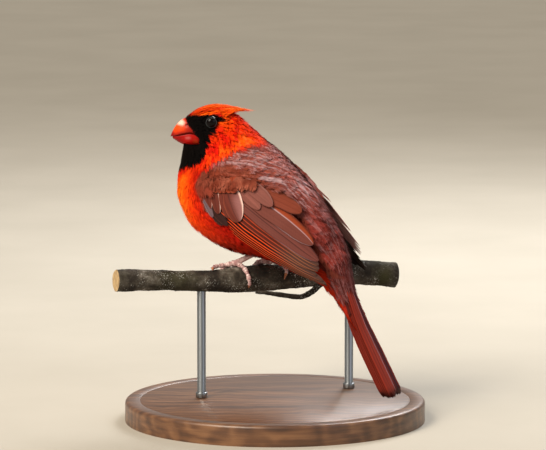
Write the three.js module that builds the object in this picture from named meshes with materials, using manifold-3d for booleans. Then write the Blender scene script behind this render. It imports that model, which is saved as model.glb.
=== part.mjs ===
// A northern cardinal, male, life size: perched on a cut length of branch,
// with a round wooden base and two steel rods under the branch.
// Millimetres, +Z up. The origin is the centre of the base's underside.

import * as THREE from "three";
import { mergeVertices } from "three/addons/utils/BufferGeometryUtils.js";
import Module from "manifold-3d";

const wasm = await Module();
wasm.setup();

const V3 = (x, y, z) => new THREE.Vector3(x, y, z);
const rad = THREE.MathUtils.degToRad;
const clamp = THREE.MathUtils.clamp;
const lerp = THREE.MathUtils.lerp;

// Driving sizes
const GAP = 0.3; // between neighbouring pieces
const VANE = 0.5; // thickness of a feather vane
const LAYER = 0.82; // one vane and the air above it
const PERCH_TOP = V3(-11.5, 15, 88); // top of the branch under the bird
const BODY_YAW = rad(145); // the bird looks away to the left
const BODY_ROLL = rad(-6);
const HEAD_TURN = rad(35); // the head is turned back to its left
const HEAD_AXIS = 12; // the turn's upright axis, forward of the perch
const BASE_RADIUS = 86;
const BASE_HEIGHT = 12;
const ROD_RADIUS = 2.5;

// The bird's own frame: X forward, Y left, Z up, from the top of the perch.
const birdTurn = new THREE.Matrix4().makeRotationFromEuler(
  new THREE.Euler(BODY_ROLL, 0, BODY_YAW, "ZYX"),
);

// Smooth interpolation through rows of numbers at whole parameter values
function smooth(rows, s) {
  const last = rows.length - 1;
  const i = clamp(Math.floor(s), 0, last - 1);
  const t = s - i;
  const row = (k) => rows[clamp(k, 0, last)];
  return rows[0].map((_, c) => {
    const [a, b, d, e] = [row(i - 1)[c], row(i)[c], row(i + 1)[c], row(i + 2)[c]];
    const m0 = i === 0 ? d - b : (d - a) / 2;
    const m1 = i + 1 === last ? d - b : (e - b) / 2;
    const t2 = t * t;
    const t3 = t2 * t;
    return (2 * t3 - 3 * t2 + 1) * b + (t3 - 2 * t2 + t) * m0 + (3 * t2 - 2 * t3) * d + (t3 - t2) * m1;
  });
}

// Piecewise linear value of y at x, from pairs [x, y]
function ramp(pairs, x) {
  if (x <= pairs[0][0]) return pairs[0][1];
  for (let i = 1; i < pairs.length; i++) {
    if (x <= pairs[i][0]) {
      const [x0, y0] = pairs[i - 1];
      const [x1, y1] = pairs[i];
      return lerp(y0, y1, (x - x0) / (x1 - x0));
    }
  }
  return pairs[pairs.length - 1][1];
}

// An indexed geometry whose faces point out
function closed(points, triangles) {
  let volume = 0;
  for (const [a, b, c] of triangles) {
    volume += points[a].dot(V3(0, 0, 0).crossVectors(points[b], points[c]));
  }
  const index = volume < 0 ? triangles.flatMap(([a, b, c]) => [a, c, b]) : triangles.flat();
  const geometry = new THREE.BufferGeometry();
  geometry.setAttribute("position", new THREE.Float32BufferAttribute(points.flatMap((p) => p.toArray()), 3));
  geometry.setIndex(index);
  return geometry;
}

// A skin over rings of points, with a fan over each end
function loft(rings) {
  const sides = rings[0].length;
  const points = rings.flat();
  const triangles = [];
  for (let r = 0; r + 1 < rings.length; r++) {
    for (let k = 0; k < sides; k++) {
      const a = r * sides + k;
      const b = r * sides + ((k + 1) % sides);
      triangles.push([a, b, b + sides], [a, b + sides, a + sides]);
    }
  }
  for (const end of [0, rings.length - 1]) {
    const centre = points.length;
    const ring = rings[end];
    points.push(ring.reduce((sum, p) => sum.add(p), V3(0, 0, 0)).multiplyScalar(1 / sides));
    for (let k = 0; k < sides; k++) {
      const a = end * sides + k;
      const b = end * sides + ((k + 1) % sides);
      triangles.push(end === 0 ? [centre, b, a] : [centre, a, b]);
    }
  }
  return closed(points, triangles);
}

// A round rod of changing radius along points, with blunt ends
function sweep(path, radii, sides) {
  const up = V3(0.13, 0.21, 0.97).normalize();
  const rings = path.map((p, i) => {
    const along = path[Math.min(i + 1, path.length - 1)].clone().sub(path[Math.max(i - 1, 0)]).normalize();
    const side = V3(0, 0, 0).crossVectors(along, up).normalize();
    const over = V3(0, 0, 0).crossVectors(side, along);
    return Array.from({ length: sides }, (_, k) => {
      const angle = (2 * Math.PI * k) / sides;
      const out = side.clone().multiplyScalar(Math.cos(angle)).addScaledVector(over, Math.sin(angle));
      return p.clone().addScaledVector(out, radii[i]);
    });
  });
  return loft(rings);
}

// A thin plate between two sheets of points, split into triangles alike on both faces
function plate(top, bottom) {
  const rows = top.length;
  const columns = top[0].length;
  const points = [...top.flat(), ...bottom.flat()];
  const triangles = [];
  const under = rows * columns;
  const at = (r, c) => r * columns + c;
  for (let r = 0; r + 1 < rows; r++) {
    for (let c = 0; c + 1 < columns; c++) {
      const [a, b, d, e] = [at(r, c), at(r, c + 1), at(r + 1, c), at(r + 1, c + 1)];
      triangles.push([a, b, e], [a, e, d]);
      triangles.push([under + a, under + e, under + b], [under + a, under + d, under + e]);
    }
  }
  const rim = [];
  for (let c = 0; c + 1 < columns; c++) rim.push(at(0, c));
  for (let r = 0; r + 1 < rows; r++) rim.push(at(r, columns - 1));
  for (let c = columns - 1; c > 0; c--) rim.push(at(rows - 1, c));
  for (let r = rows - 1; r > 0; r--) rim.push(at(r, 0));
  rim.forEach((a, i) => {
    const b = rim[(i + 1) % rim.length];
    triangles.push([a, under + a, under + b], [a, under + b, b]);
  });
  return closed(points, triangles);
}

// A feather vane: a thin plate along a run of frames, each {at, side, over}, from the root
// to the tip, with its half width from reach
function vane(frames, reach) {
  const sheet = (drop) =>
    frames.map(({ at, side, over }, i) =>
      [-1, 1].map((v) => {
        const out = v * reach(i / (frames.length - 1));
        return at.clone().addScaledVector(side, out).addScaledVector(over, -drop);
      }),
    );
  return plate(sheet(0), sheet(VANE));
}

function solid(geometry) {
  const bare = geometry.clone();
  bare.deleteAttribute("normal");
  bare.deleteAttribute("uv");
  const merged = mergeVertices(bare, 1e-4);
  return new wasm.Manifold(
    new wasm.Mesh({
      numProp: 3,
      vertProperties: new Float32Array(merged.getAttribute("position").array),
      triVerts: new Uint32Array(merged.index.array),
    }),
  );
}

function join(pieces) {
  return pieces.reduce((whole, piece) => whole.add(piece));
}

// The geometry of a solid's largest closed surface
function largest(whole) {
  const parts = whole.decompose().sort((a, b) => b.volume() - a.volume());
  const mesh = parts[0].getMesh();
  const geometry = new THREE.BufferGeometry();
  geometry.setAttribute("position", new THREE.BufferAttribute(new Float32Array(mesh.vertProperties), 3));
  geometry.setIndex(Array.from(mesh.triVerts));
  return geometry;
}

const group = new THREE.Group();
const bird = new THREE.Group();
bird.position.copy(PERCH_TOP);
group.add(bird);

function finish(color, roughness, metalness = 0) {
  return new THREE.MeshStandardMaterial({ color, roughness, metalness });
}

const FINISH = {
  crown: finish("#d8401c", 0.8),
  mantle: finish("#8f3a30", 0.85),
  wing: finish("#7d4038", 0.7),
  tail: finish("#8a2a22", 0.7),
  bill: finish("#f0562c", 0.45),
  eye: finish("#1a0f0c", 0.08),
  foot: finish("#8d6a60", 0.6),
  bark: finish("#5c5a4c", 0.95),
  base: finish("#6b4a32", 0.5),
  steel: finish("#8c8f92", 0.35, 1),
};

function part(name, geometry, material, parent = bird) {
  const mesh = new THREE.Mesh(geometry, material);
  mesh.name = name;
  parent.add(mesh);
  return mesh;
}

// Body: sections from the face to the end of the tail coverts.
// Each row holds the back edge (forward, up), the belly edge (forward, up), the half width
// and how much wider the section is towards its back edge.
const BODY = [
  [38.3, 85.6, 38.8, 70.5, 3.6, 0.1],
  [33.2, 89.5, 40.0, 66.3, 6.6, 0.35],
  [26.4, 90.9, 41.4, 60.5, 9.4, 0.5],
  [17.5, 91.3, 43.3, 54.0, 11.4, 0.45],
  [7.6, 87.6, 44.2, 47.7, 13.4, 0.2],
  [0.7, 81.2, 44.8, 41.0, 18.7, 0],
  [-6.6, 74.0, 42.6, 32.3, 23.2, -0.1],
  [-17.2, 66.8, 36.6, 21.0, 27.2, -0.1],
  [-28.6, 58.6, 23.0, 12.4, 28.2, -0.1],
  [-38.2, 49.4, 5.0, 6.6, 26.4, -0.1],
  [-48.8, 37.4, -16.0, 1.6, 22.4, -0.1],
  [-58.2, 24.0, -30.6, -4.0, 17.6, -0.1],
  [-64.4, 9.4, -43.6, -8.0, 12.4, -0.1],
  [-66.6, -6.6, -55.4, -14.8, 8.6, -0.1],
  [-70.6, -21.4, -65.4, -24.4, 7.8, -0.1],
];
const BODY_SIDES = 28;
const NECK_START = 4; // where the head, neck, torso and tail are parted
const NECK_END = 5.2;
const TAIL_START = 12;
const BODY_END = BODY.length - 1;
const PART_STEP = 0.018; // half a gap, in sections
const turnAt = (s) => HEAD_TURN * (1 - THREE.MathUtils.smoothstep(s, 3.4, 8.4));

// A point of the head or neck, turned about the upright axis
function turned(p, angle) {
  const x = p.x - HEAD_AXIS;
  return V3(HEAD_AXIS + x * Math.cos(angle) - p.y * Math.sin(angle), x * Math.sin(angle) + p.y * Math.cos(angle), p.z);
}

function bodySection(s, grow) {
  const [backX, backZ, bellyX, bellyZ, half, skew] = smooth(BODY, s);
  const back = V3(backX, 0, backZ);
  const belly = V3(bellyX, 0, bellyZ);
  const centre = back.clone().add(belly).multiplyScalar(0.5);
  const rise = back.clone().sub(belly).normalize();
  const deep = back.distanceTo(belly) / 2 + grow;
  return Array.from({ length: BODY_SIDES }, (_, k) => {
    const angle = (2 * Math.PI * k) / BODY_SIDES;
    const wide = (half + grow) * Math.sin(angle) * (1 + skew * Math.cos(angle));
    const p = centre.clone().addScaledVector(rise, deep * Math.cos(angle));
    p.y += wide;
    return turned(p, turnAt(s)).applyMatrix4(birdTurn);
  });
}

function bodyLoft(from, to, grow = 0) {
  const steps = Math.max(3, Math.round((to - from) * 2.2));
  const rings = Array.from({ length: steps + 1 }, (_, i) => bodySection(lerp(from, to, i / steps), grow));
  return solid(loft(rings));
}

// A point of the head in its own frame, brought to its place
const onHead = (x, y, z) => turned(V3(x, y, z), HEAD_TURN).applyMatrix4(birdTurn);

// Bill: stations along its length, each [forward, ridge height, cutting edge height,
// keel height, half width].
const BILL = [
  [29.0, 86.6, 76.4, 70.2, 6.4],
  [32.0, 87.0, 78.0, 70.2, 6.4],
  [35.2, 86.9, 78.5, 70.3, 6.1],
  [38.4, 86.0, 78.0, 71.0, 5.3],
  [41.2, 83.9, 77.4, 72.5, 4.3],
  [43.5, 81.2, 76.9, 74.2, 3.0],
  [45.2, 78.4, 76.6, 75.6, 1.5],
];
const BILL_TIP = [46.1, 76.2];
const BILL_SIDES = 9;

function billHalf(upper, grow) {
  const steps = 10;
  const rings = [];
  for (let i = 0; i <= steps; i++) {
    const s = (i / steps) * (BILL.length - 1 - (upper ? 0 : 0.25));
    const [x, ridge, edge, keel, half] = smooth(BILL, s);
    const far = upper ? ridge + grow : keel - grow;
    const cut = upper ? edge + (grow > 0 ? -grow : GAP / 2) : edge - GAP / 2 + grow;
    const wide = half + grow;
    const ring = [];
    for (let k = 0; k <= BILL_SIDES; k++) {
      const angle = (Math.PI * k) / BILL_SIDES;
      const y = wide * Math.cos(angle) * (upper ? 1 : 0.94);
      ring.push(onHead(x, y, cut + (far - cut) * Math.sin(angle) ** 0.8));
    }
    ring.push(onHead(x, -wide * 0.5, cut));
    ring.push(onHead(x, wide * 0.5, cut));
    rings.push(ring);
  }
  if (upper) {
    rings.push(
      rings[0].map((_, k) => {
        const angle = (2 * Math.PI * k) / rings[0].length;
        return onHead(BILL_TIP[0], 0.3 * Math.cos(angle), BILL_TIP[1] + 0.3 * Math.sin(angle));
      }),
    );
  }
  return solid(loft(rings));
}

const EYE = { x: 21.9, y: 11.2, z: 85.2, radius: 3.6, sink: 1.7 };

function sphereAt(centre, radius, wide = 14, high = 10) {
  const geometry = new THREE.SphereGeometry(radius, wide, high);
  geometry.translate(centre.x, centre.y, centre.z);
  return geometry;
}

const eyeCentre = (side) => onHead(EYE.x, side * (EYE.y - EYE.sink), EYE.z);

// Crest: long crown feathers that lie back over each other like tiles and fly off the nape.
// Each row is [tier, root forward, root side, tip forward, tip side].
const CREST = [
  [0, 32.0, 0, 16.5, 0.3],
  [1, 28.0, 3.0, 11.0, 2.5],
  [1, 28.0, -3.0, 11.0, -2.4],
  [2, 23.0, 0, 2.6, 0.2],
  [2, 21.0, 5.7, 7.0, 4.6],
  [2, 21.0, -5.7, 7.0, -4.6],
  [3, 17.0, 3.0, -0.4, 1.3],
  [3, 17.0, -3.0, 1.2, -1.4],
];
const CREST_TIERS = [32.0, 28.0, 22.6, 17.0];
const CREST_HALF = 2.75;
const CREST_STEPS = 6;
const CREST_TIP_FALL = 0.2; // slope of the free ends past the nape
const CROWN = [[3, 83.5], [7, 87.3], [12, 90.2], [18, 91.3], [24, 91.2], [29.5, 90.2], [33, 88.9], [36, 86.8]];
const crownHeight = (x, y) => ramp(CROWN, x) - 0.052 * y * y;

// Height of a feather of one tier over the crown: it lies on those that start behind it
function crestLift(tier, x) {
  const below = CREST_TIERS.filter((start, k) => k > tier);
  return below.reduce((sum, start) => sum + LAYER * THREE.MathUtils.smoothstep(start - x, 0, 3.5), LAYER);
}

function crestFeather([tier, rootX, rootY, tipX, tipY]) {
  const leaveX = 11;
  const frames = Array.from({ length: CREST_STEPS + 1 }, (_, i) => {
    const t = i / CREST_STEPS;
    const x = lerp(rootX, tipX, t);
    const y = lerp(rootY, tipY, t);
    const free = crownHeight(leaveX, y) + crestLift(tier, leaveX) - CREST_TIP_FALL * (leaveX - x) + 0.3;
    const z = (x < leaveX ? free : crownHeight(x, y) + crestLift(tier, x)) - 2.2 * (1 - Math.min(1, 4 * t)) ** 2;
    return { at: onHead(x, y, z), side: onHead(x, y + 1, z - 0.1 * y).sub(onHead(x, y, z)), over: onHead(x, y, z + 1).sub(onHead(x, y, z)) };
  });
  const reach = (t) => CREST_HALF * (0.7 + 0.3 * Math.sin(Math.PI * t)) * Math.sqrt(Math.max(0.02, 1 - t ** 2.2));
  return vane(frames, reach);
}

const LID = { ring: 3.3, thick: 0.65, out: 2.0 };
let head = bodyLoft(0, NECK_START - PART_STEP);
for (const side of [1, -1]) {
  const ring = new THREE.TorusGeometry(LID.ring, LID.thick, 6, 16);
  ring.rotateX(Math.PI / 2).translate(EYE.x - HEAD_AXIS, side * (EYE.y - EYE.sink + LID.out), EYE.z);
  ring.rotateZ(HEAD_TURN).translate(HEAD_AXIS, 0, 0).applyMatrix4(birdTurn);
  head = head.add(solid(ring));
}
for (const feather of CREST) {
  head = head.add(solid(crestFeather(feather)));
}
for (const side of [1, -1]) {
  head = head.subtract(solid(sphereAt(eyeCentre(side), EYE.radius + GAP, 16, 12)));
}
// The feathers end at the bill's base, along this line on each side: [forward, up].
const BILL_BASE = [[38.7, 86.1], [34.0, 81.6], [30.6, 76.6], [29.9, 72.0], [31.2, 70.8], [39.0, 71.2], [50, 71], [50, 88]];
const HEAD_REACH = 16;
const face = loft([-HEAD_REACH, HEAD_REACH].map((y) => BILL_BASE.map(([x, z]) => onHead(x, y, z))));
head = head.subtract(solid(face)).subtract(billHalf(true, GAP)).subtract(billHalf(false, GAP));
part("head", largest(head), FINISH.crown);
const NOSTRIL = { x: 36.4, y: 4.9, z: 83.4, radius: 0.9 };
let upperBill = billHalf(true, 0);
for (const side of [1, -1]) {
  upperBill = upperBill.subtract(solid(sphereAt(onHead(NOSTRIL.x, side * NOSTRIL.y, NOSTRIL.z), NOSTRIL.radius, 8, 6)));
}
part("bill_upper", largest(upperBill), FINISH.bill);
part("bill_lower", largest(billHalf(false, 0)), FINISH.bill);
part("eye_left", sphereAt(eyeCentre(1), EYE.radius), FINISH.eye);
part("eye_right", sphereAt(eyeCentre(-1), EYE.radius), FINISH.eye);

part("neck", largest(bodyLoft(NECK_START + PART_STEP, NECK_END - PART_STEP)), FINISH.crown);

// Wing chart: a is the distance from the wrist towards the tip, q the distance up the side
// towards the back, off the height over the folded wing's outer face.
const WRIST = V3(20.6, 0, 48.9);
const ALONG = V3(-0.862, 0, -0.507);
const DORSAL = V3(-0.507, 0, 0.862);
const SIDE_RADIUS = [[0, 25.5], [20, 29.4], [40, 30.8], [60, 29.6], [80, 26.4], [99, 22.4]];
const BACK_RADIUS = [[0, 28.5], [20, 34.5], [40, 35.5], [60, 32], [80, 25], [99, 18]];
const WRAP = 27;

function onWing(side, a, q, off) {
  const angle = q / WRAP;
  const p = WRIST.clone().addScaledVector(ALONG, a);
  p.y = side * (ramp(SIDE_RADIUS, a) + off) * Math.cos(angle);
  p.addScaledVector(DORSAL, (ramp(BACK_RADIUS, a) + off) * Math.sin(angle));
  return p.applyMatrix4(birdTurn);
}

// Lower and upper edge of the folded wing at each distance from the wrist
const WING_LOW = [[0, -0.5], [6, -4.6], [12, -7.6], [18, -8.2], [30, -7.6], [90, -7.4], [99, -5.4]];
const WING_HIGH = [[0, 5], [10, 13], [20, 18.5], [30, 23], [40, 27], [50, 29.5], [62, 29], [70, 25], [80, 19], [90, 10], [95, 4], [99, 0]];

// A sheet over the wing's outline from one height to another
function wingSheet(side, from, to, inner, outer, margin) {
  const rows = 9;
  const columns = 5;
  const sheet = (height) =>
    Array.from({ length: rows + 1 }, (_, r) => {
      const a = lerp(from, to, r / rows);
      const low = ramp(WING_LOW, a) - margin;
      const high = ramp(WING_HIGH, a) + margin;
      return Array.from({ length: columns + 1 }, (_, c) => {
        const v = c / columns;
        return onWing(side, a, lerp(low, high, v), height(r / rows, v));
      });
    });
  return plate(sheet(outer), sheet(inner));
}

const WING_DEPTH = -4.2; // underside of the folded wing
const BED_FROM = 0.3;
const BED_TO = 101;
const BED_OUT = 9;
const wingBed = (side) => solid(wingSheet(side, BED_FROM, BED_TO, () => WING_DEPTH - GAP, () => BED_OUT, GAP));

// Flight feathers of the folded wing, from the lowest primary to the innermost tertial.
// Each row holds the shaft's root (a, q), its tip (a, q) and the vane's half widths
// below and above the shaft.
const FLIGHT = [
  [17, -5.4, 92, -5.2, 1.6, 2.4],
  [18, -4.2, 98.5, -3.2, 1.6, 2.4],
  [19, -3.1, 98, -1.8, 1.6, 2.5],
  [20, -2.0, 95.5, -0.4, 1.6, 2.6],
  [21, -0.9, 91, 0.9, 1.7, 2.7],
  [22, 0.3, 86.5, 2.1, 1.8, 2.8],
  [23, 1.6, 90.5, 3.9, 2.0, 3.1],
  [24, 3.1, 91, 5.5, 2.2, 3.4],
  [25, 4.8, 90, 7.2, 2.4, 3.8],
  [26, 6.6, 89, 9.0, 2.7, 4.2],
  [28, 9.6, 87.5, 11.4, 4.2, 5.2],
  [31, 14.2, 79.5, 17.6, 5.0, 5.6],
  [36, 19.6, 62.5, 26.6, 4.6, 4.6],
];
const FLIGHT_STEPS = 5;
const upperEdge = ([rootA, rootQ, tipA, tipQ, , above], a) => lerp(rootQ, tipQ, (a - rootA) / (tipA - rootA)) + above;

// How many feathers lie under the point (a, q), as a number that rises smoothly with q
function layerUnder(a, q) {
  const edges = FLIGHT.map((feather) => upperEdge(feather, a));
  if (q <= edges[0]) return (q - edges[0]) / 6;
  for (let i = 1; i < edges.length; i++) {
    if (q <= edges[i]) return i - 1 + (q - edges[i - 1]) / (edges[i] - edges[i - 1]);
  }
  return edges.length - 1;
}

// A vane on the wing chart, from root to tip, with its height given at each point
function wingVane(side, [rootA, rootQ, tipA, tipQ, below, above], steps, height, pointed) {
  const along = new THREE.Vector2(tipA - rootA, tipQ - rootQ).normalize();
  const rows = Array.from({ length: steps + 1 }, (_, i) => 1 - (1 - i / steps) ** 1.25);
  const sheet = (drop) =>
    rows.map((t) => {
      const narrow = Math.sqrt(Math.max(0.03, 1 - Math.max(0, (t - pointed) / (1 - pointed)) ** 2));
      const wide = narrow * (0.7 + 0.3 * Math.min(1, t * 3));
      return [below, -above].map((out) => {
        const a = lerp(rootA, tipA, t) + along.y * out * wide;
        const q = Math.min(lerp(rootQ, tipQ, t) - along.x * out * wide, ramp(WING_HIGH, a));
        return onWing(side, a, q, height(a, q, t) - drop);
      });
    });
  return solid(plate(sheet(0), sheet(VANE)));
}

// Coverts, each row as above: two alula feathers, three primary coverts, the greater coverts
// along the secondaries' roots and the median coverts over them
const between = (from, to, count) =>
  Array.from({ length: count }, (_, i) => from.map((value, k) => lerp(value, to[k], i / (count - 1))));
const PRIMARY_COVERTS = between([15, -4.6, 26, -6.0, 1.8, 2.4], [15, -2.6, 31, -3.2, 1.8, 2.4], 3);
const ALULA = between([6, -2.6, 15, -5.8, 1.8, 2.2], [8, -2.0, 19.5, -5.0, 2.2, 2.4], 2);
const GREATER = between([6, 1.6, 18, -1.6, 2.6, 3.2], [24.5, 14.4, 37, 3.6, 3.6, 3.4], 5);
const MEDIAN = between([1.5, 3.0, 10, 0.4, 2.6, 2.8], [22.5, 19.5, 30, 11.6, 3.4, 3.4], 6);
const COVERT_STEPS = 3;

// The arm under the coverts, and how high it rises along its length
const CORE_START = 0.8;
const CORE_END = 50;
const CORE_INSET = 0.6;
const CORE_RISE = [[0, 1.6], [0.2, 2.9], [0.62, 2.7], [0.85, 1.2], [1, 0.5]];

function wing(side) {
  const rise = (u, v) => WING_DEPTH + ramp(CORE_RISE, u) * (0.25 + 0.75 * Math.sin(Math.PI * v) ** 0.5);
  let whole = solid(wingSheet(side, CORE_START, CORE_END, () => WING_DEPTH, rise, -CORE_INSET));
  FLIGHT.forEach((feather, i) => {
    const height = (a, q) => WING_DEPTH + VANE + 0.1 + LAYER * (i - layerUnder(a, q));
    whole = whole.add(wingVane(side, feather, FLIGHT_STEPS, height, 0.8));
  });
  const tiers = [
    [PRIMARY_COVERTS, 2.2, 3.0, 0.6],
    [ALULA, 2.6, 3.6, 0.6],
    [GREATER, 2.2, 3.5, 0.35],
    [MEDIAN, 2.6, 4.4, 0.3],
  ];
  for (const [rows, rootHeight, tipHeight, step] of tiers) {
    rows.forEach((feather, i) => {
      const height = (a, q, t) => {
        const tilt = (q - lerp(feather[1], feather[3], t)) / (feather[4] + feather[5]);
        return WING_DEPTH + lerp(rootHeight, tipHeight, t) + step * (i % 2) - 0.7 * tilt;
      };
      whole = whole.add(wingVane(side, feather, COVERT_STEPS, height, 0.5));
    });
  }
  return largest(whole);
}

let torso = bodyLoft(NECK_END + PART_STEP, TAIL_START - PART_STEP);
for (const side of [1, -1]) {
  torso = torso.subtract(wingBed(side));
  part(side > 0 ? "wing_left" : "wing_right", wing(side), FINISH.wing);
}
part("torso", largest(torso), FINISH.mantle);

// Tail: the sheath of coverts and the folded feathers under it
const TAIL_ROOT = V3(-57.3, 0, -2.3);
const TAIL_TIP = V3(-92, 0, -70.2);
const tailAlong = TAIL_TIP.clone().sub(TAIL_ROOT).normalize();
const tailOver = V3(tailAlong.z, 0, -tailAlong.x);
const TAIL_LENGTH = TAIL_TIP.distanceTo(TAIL_ROOT);

function onTail(t, y, off) {
  return TAIL_ROOT.clone().addScaledVector(tailAlong, t).addScaledVector(tailOver, off).add(V3(0, y, 0)).applyMatrix4(birdTurn);
}

// Folded tail feathers, from the top one down, each row [layer, left edge, right edge,
// share of the full length]: twelve feathers, the central pair on top
const TAIL = [[0, 7.0, -0.9, 1], [1, 3.4, -6.9, 0.992]];
for (let pair = 2; pair <= 6; pair++) {
  const out = 6.6 + 0.38 * pair;
  TAIL.push([pair, out - 0.9, 0.9, 1.002 - 0.006 * pair], [pair, -0.9, -out, 1.0 - 0.005 * pair]);
}
const TAIL_TOP = 2.6;

function tailFeather([layer, left, right, length]) {
  const rows = [0, 0.25, 0.5, 0.75, 0.96, 1];
  const sheet = (drop) =>
    rows.map((t) => {
      const spread = 0.62 + 0.38 * THREE.MathUtils.smoothstep(t, 0, 0.7);
      const tip = t > 0.99 ? 0.62 : 1;
      const middle = (left + right) / 2;
      return [left, right].map((y) => {
        const across = (middle + (y - middle) * tip) * spread;
        return onTail(TAIL_LENGTH * length * t, across, TAIL_TOP - layer * LAYER - drop);
      });
    });
  return solid(plate(sheet(0), sheet(VANE)));
}

const sheath = bodyLoft(TAIL_START + PART_STEP, BODY_END);
part("tail", largest(join([sheath, ...TAIL.map(tailFeather)])), FINISH.tail);

// Perch: the branch's axis (right, away, up) from its top under the bird, and its radius
const PERCH = [
  [-79, -28.8, -5.2, 6.4],
  [-54.6, -19.9, -6.5, 5.8],
  [-31.6, -11.5, -8.2, 5.9],
  [-8.6, -3.1, -8.4, 7.4],
  [14, 5.1, -8.2, 7.5],
  [36, 13.1, -7.9, 7.1],
  [58, 21.1, -8.0, 7.0],
  [81, 29.5, -10.6, 7.3],
];

function perchAt(s) {
  const [x, y, z, radius] = smooth(PERCH, s);
  return { centre: V3(x, y, z), radius };
}

function perchSolid(grow) {
  const steps = 24;
  const path = [];
  const radii = [];
  for (let i = 0; i <= steps; i++) {
    const { centre, radius } = perchAt(((PERCH.length - 1) * i) / steps);
    path.push(centre);
    radii.push(radius + grow);
  }
  return solid(sweep(path, radii, 14));
}
part("perch_branch", largest(perchSolid(0)), FINISH.bark);

// A side twig that leaves the branch on the right and runs back under it, to a snapped end
const TWIG = [[41, 10, -9.5], [37, 9.5, -13.4], [32.8, 7, -17.3], [25.9, 2.5, -19.5], [14.4, -3, -17.4], [7, -6.6, -15.8], [0.5, -9.4, -15]];
const TWIG_RADIUS = [2.1, 2.0, 1.7, 1.5, 1.35, 1.2, 0.9];
const twigSteps = 16;
const twigPath = Array.from({ length: twigSteps + 1 }, (_, i) => V3(...smooth(TWIG, ((TWIG.length - 1) * i) / twigSteps)));
const twigRadii = twigPath.map((_, i) => ramp(TWIG_RADIUS.map((r, k) => [(k * twigSteps) / (TWIG.length - 1), r]), i));
part("perch_twig", largest(solid(sweep(twigPath, twigRadii, 8)).subtract(perchSolid(GAP))), FINISH.bark);

// Legs: the toes lie round the branch. Each toe is a list of [along the branch, degrees
// round it from the top towards the viewer], from the foot to the claw's tip.
const perchPoint = (x, degrees, lift) => {
  let s = 0;
  while (perchAt(s).centre.x < x) s += 0.02;
  const { centre, radius } = perchAt(s);
  const across = V3(0.342, -0.94, 0);
  const angle = rad(degrees);
  const out = across.multiplyScalar(Math.sin(angle)).add(V3(0, 0, Math.cos(angle)));
  return centre.clone().addScaledVector(out, radius + lift);
};

const FEET = {
  left: {
    at: -11.6,
    toes: [
      [[1, 4], [3, 30], [4.5, 62], [5.5, 95], [5.6, 122]],
      [[-1, -4], [-5, -8], [-9, -6], [-12.4, 4], [-13.6, 26]],
      [[-1, -12], [-4, -40], [-6, -72], [-7, -104], [-7.4, -132]],
      [[1, -10], [1.5, -42], [1.6, -76], [1.4, -108], [1, -134]],
    ],
  },
  right: {
    at: 5.2,
    toes: [
      [[1, 2], [5, 10], [9, 28], [10.2, 60], [8.8, 92]],
      [[-1, -8], [-3, -40], [-4, -72], [-4.4, -104], [-4.4, -132]],
      [[0, -12], [0.6, -46], [1, -80], [1, -112], [1, -138]],
      [[1.5, -8], [4.5, -38], [6, -72], [6.6, -104], [6.6, -130]],
    ],
  },
};
const TOE_RADIUS = [1.5, 1.3, 1.2, 1.0, 0.35];
const TOE_STEPS = 10;
const ANKLE_BACK = 22.9;
const ANKLE_UP = 11.2;

for (const [name, foot] of Object.entries(FEET)) {
  const root = perchPoint(foot.at, -2, 2.0);
  const back = V3(-1, 0, 0).applyMatrix4(birdTurn).setZ(0).normalize();
  const ankle = root.clone().addScaledVector(back, ANKLE_BACK).add(V3(0, 0, ANKLE_UP));
  const pieces = [solid(sweep([root, root.clone().lerp(ankle, 0.5), ankle], [1.9, 1.5, 1.7], 8))];
  for (const toe of foot.toes) {
    const curve = new THREE.CatmullRomCurve3([
      root.clone().add(V3(0, 0, 0.2)),
      ...toe.map(([x, angle], i) => perchPoint(foot.at + x, angle, GAP + TOE_RADIUS[i] + 0.12)),
    ]);
    const path = curve.getPoints(TOE_STEPS);
    const radii = path.map((_, i) => ramp(TOE_RADIUS.map((r, k) => [(TOE_STEPS * (k + 1)) / 5, r]), i));
    pieces.push(solid(sweep(path, radii, 7)));
  }
  const leg = join(pieces).subtract(bodyLoft(NECK_END, TAIL_START, GAP)).subtract(perchSolid(GAP));
  part("leg_" + name, largest(leg), FINISH.foot);
}

// Stand: a turned wooden base and two steel rods up to the branch
const rounded = 2;
const baseProfile = [
  [0, 0],
  [BASE_RADIUS - 1, 0],
  [BASE_RADIUS, 1],
  [BASE_RADIUS, BASE_HEIGHT - rounded],
  [BASE_RADIUS - 0.6, BASE_HEIGHT - 0.6],
  [BASE_RADIUS - rounded, BASE_HEIGHT],
  [0, BASE_HEIGHT],
].map(([r, z]) => new THREE.Vector2(r, z));
const baseGeometry = new THREE.LatheGeometry(baseProfile, 48).rotateX(Math.PI / 2);
part("stand_base", baseGeometry, FINISH.base, group);

for (const [name, x] of [["left", -31], ["right", 54]]) {
  const top = perchPoint(x, 180, 0).add(PERCH_TOP);
  const length = top.z + 4 - BASE_HEIGHT - GAP;
  const rod = new THREE.CylinderGeometry(ROD_RADIUS, ROD_RADIUS, length, 16).rotateX(Math.PI / 2);
  rod.translate(top.x, top.y, BASE_HEIGHT + GAP + length / 2);
  const cutter = perchSolid(GAP).translate([PERCH_TOP.x, PERCH_TOP.y, PERCH_TOP.z]);
  part("stand_rod_" + name, largest(solid(rod).subtract(cutter)), FINISH.steel, group);
}

export default group;
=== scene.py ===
"""A male northern cardinal, life size, on a cut length of branch above a round display stand."""

import math

import bmesh
import bpy
import numpy as np
from mathutils import Matrix, Vector


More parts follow.
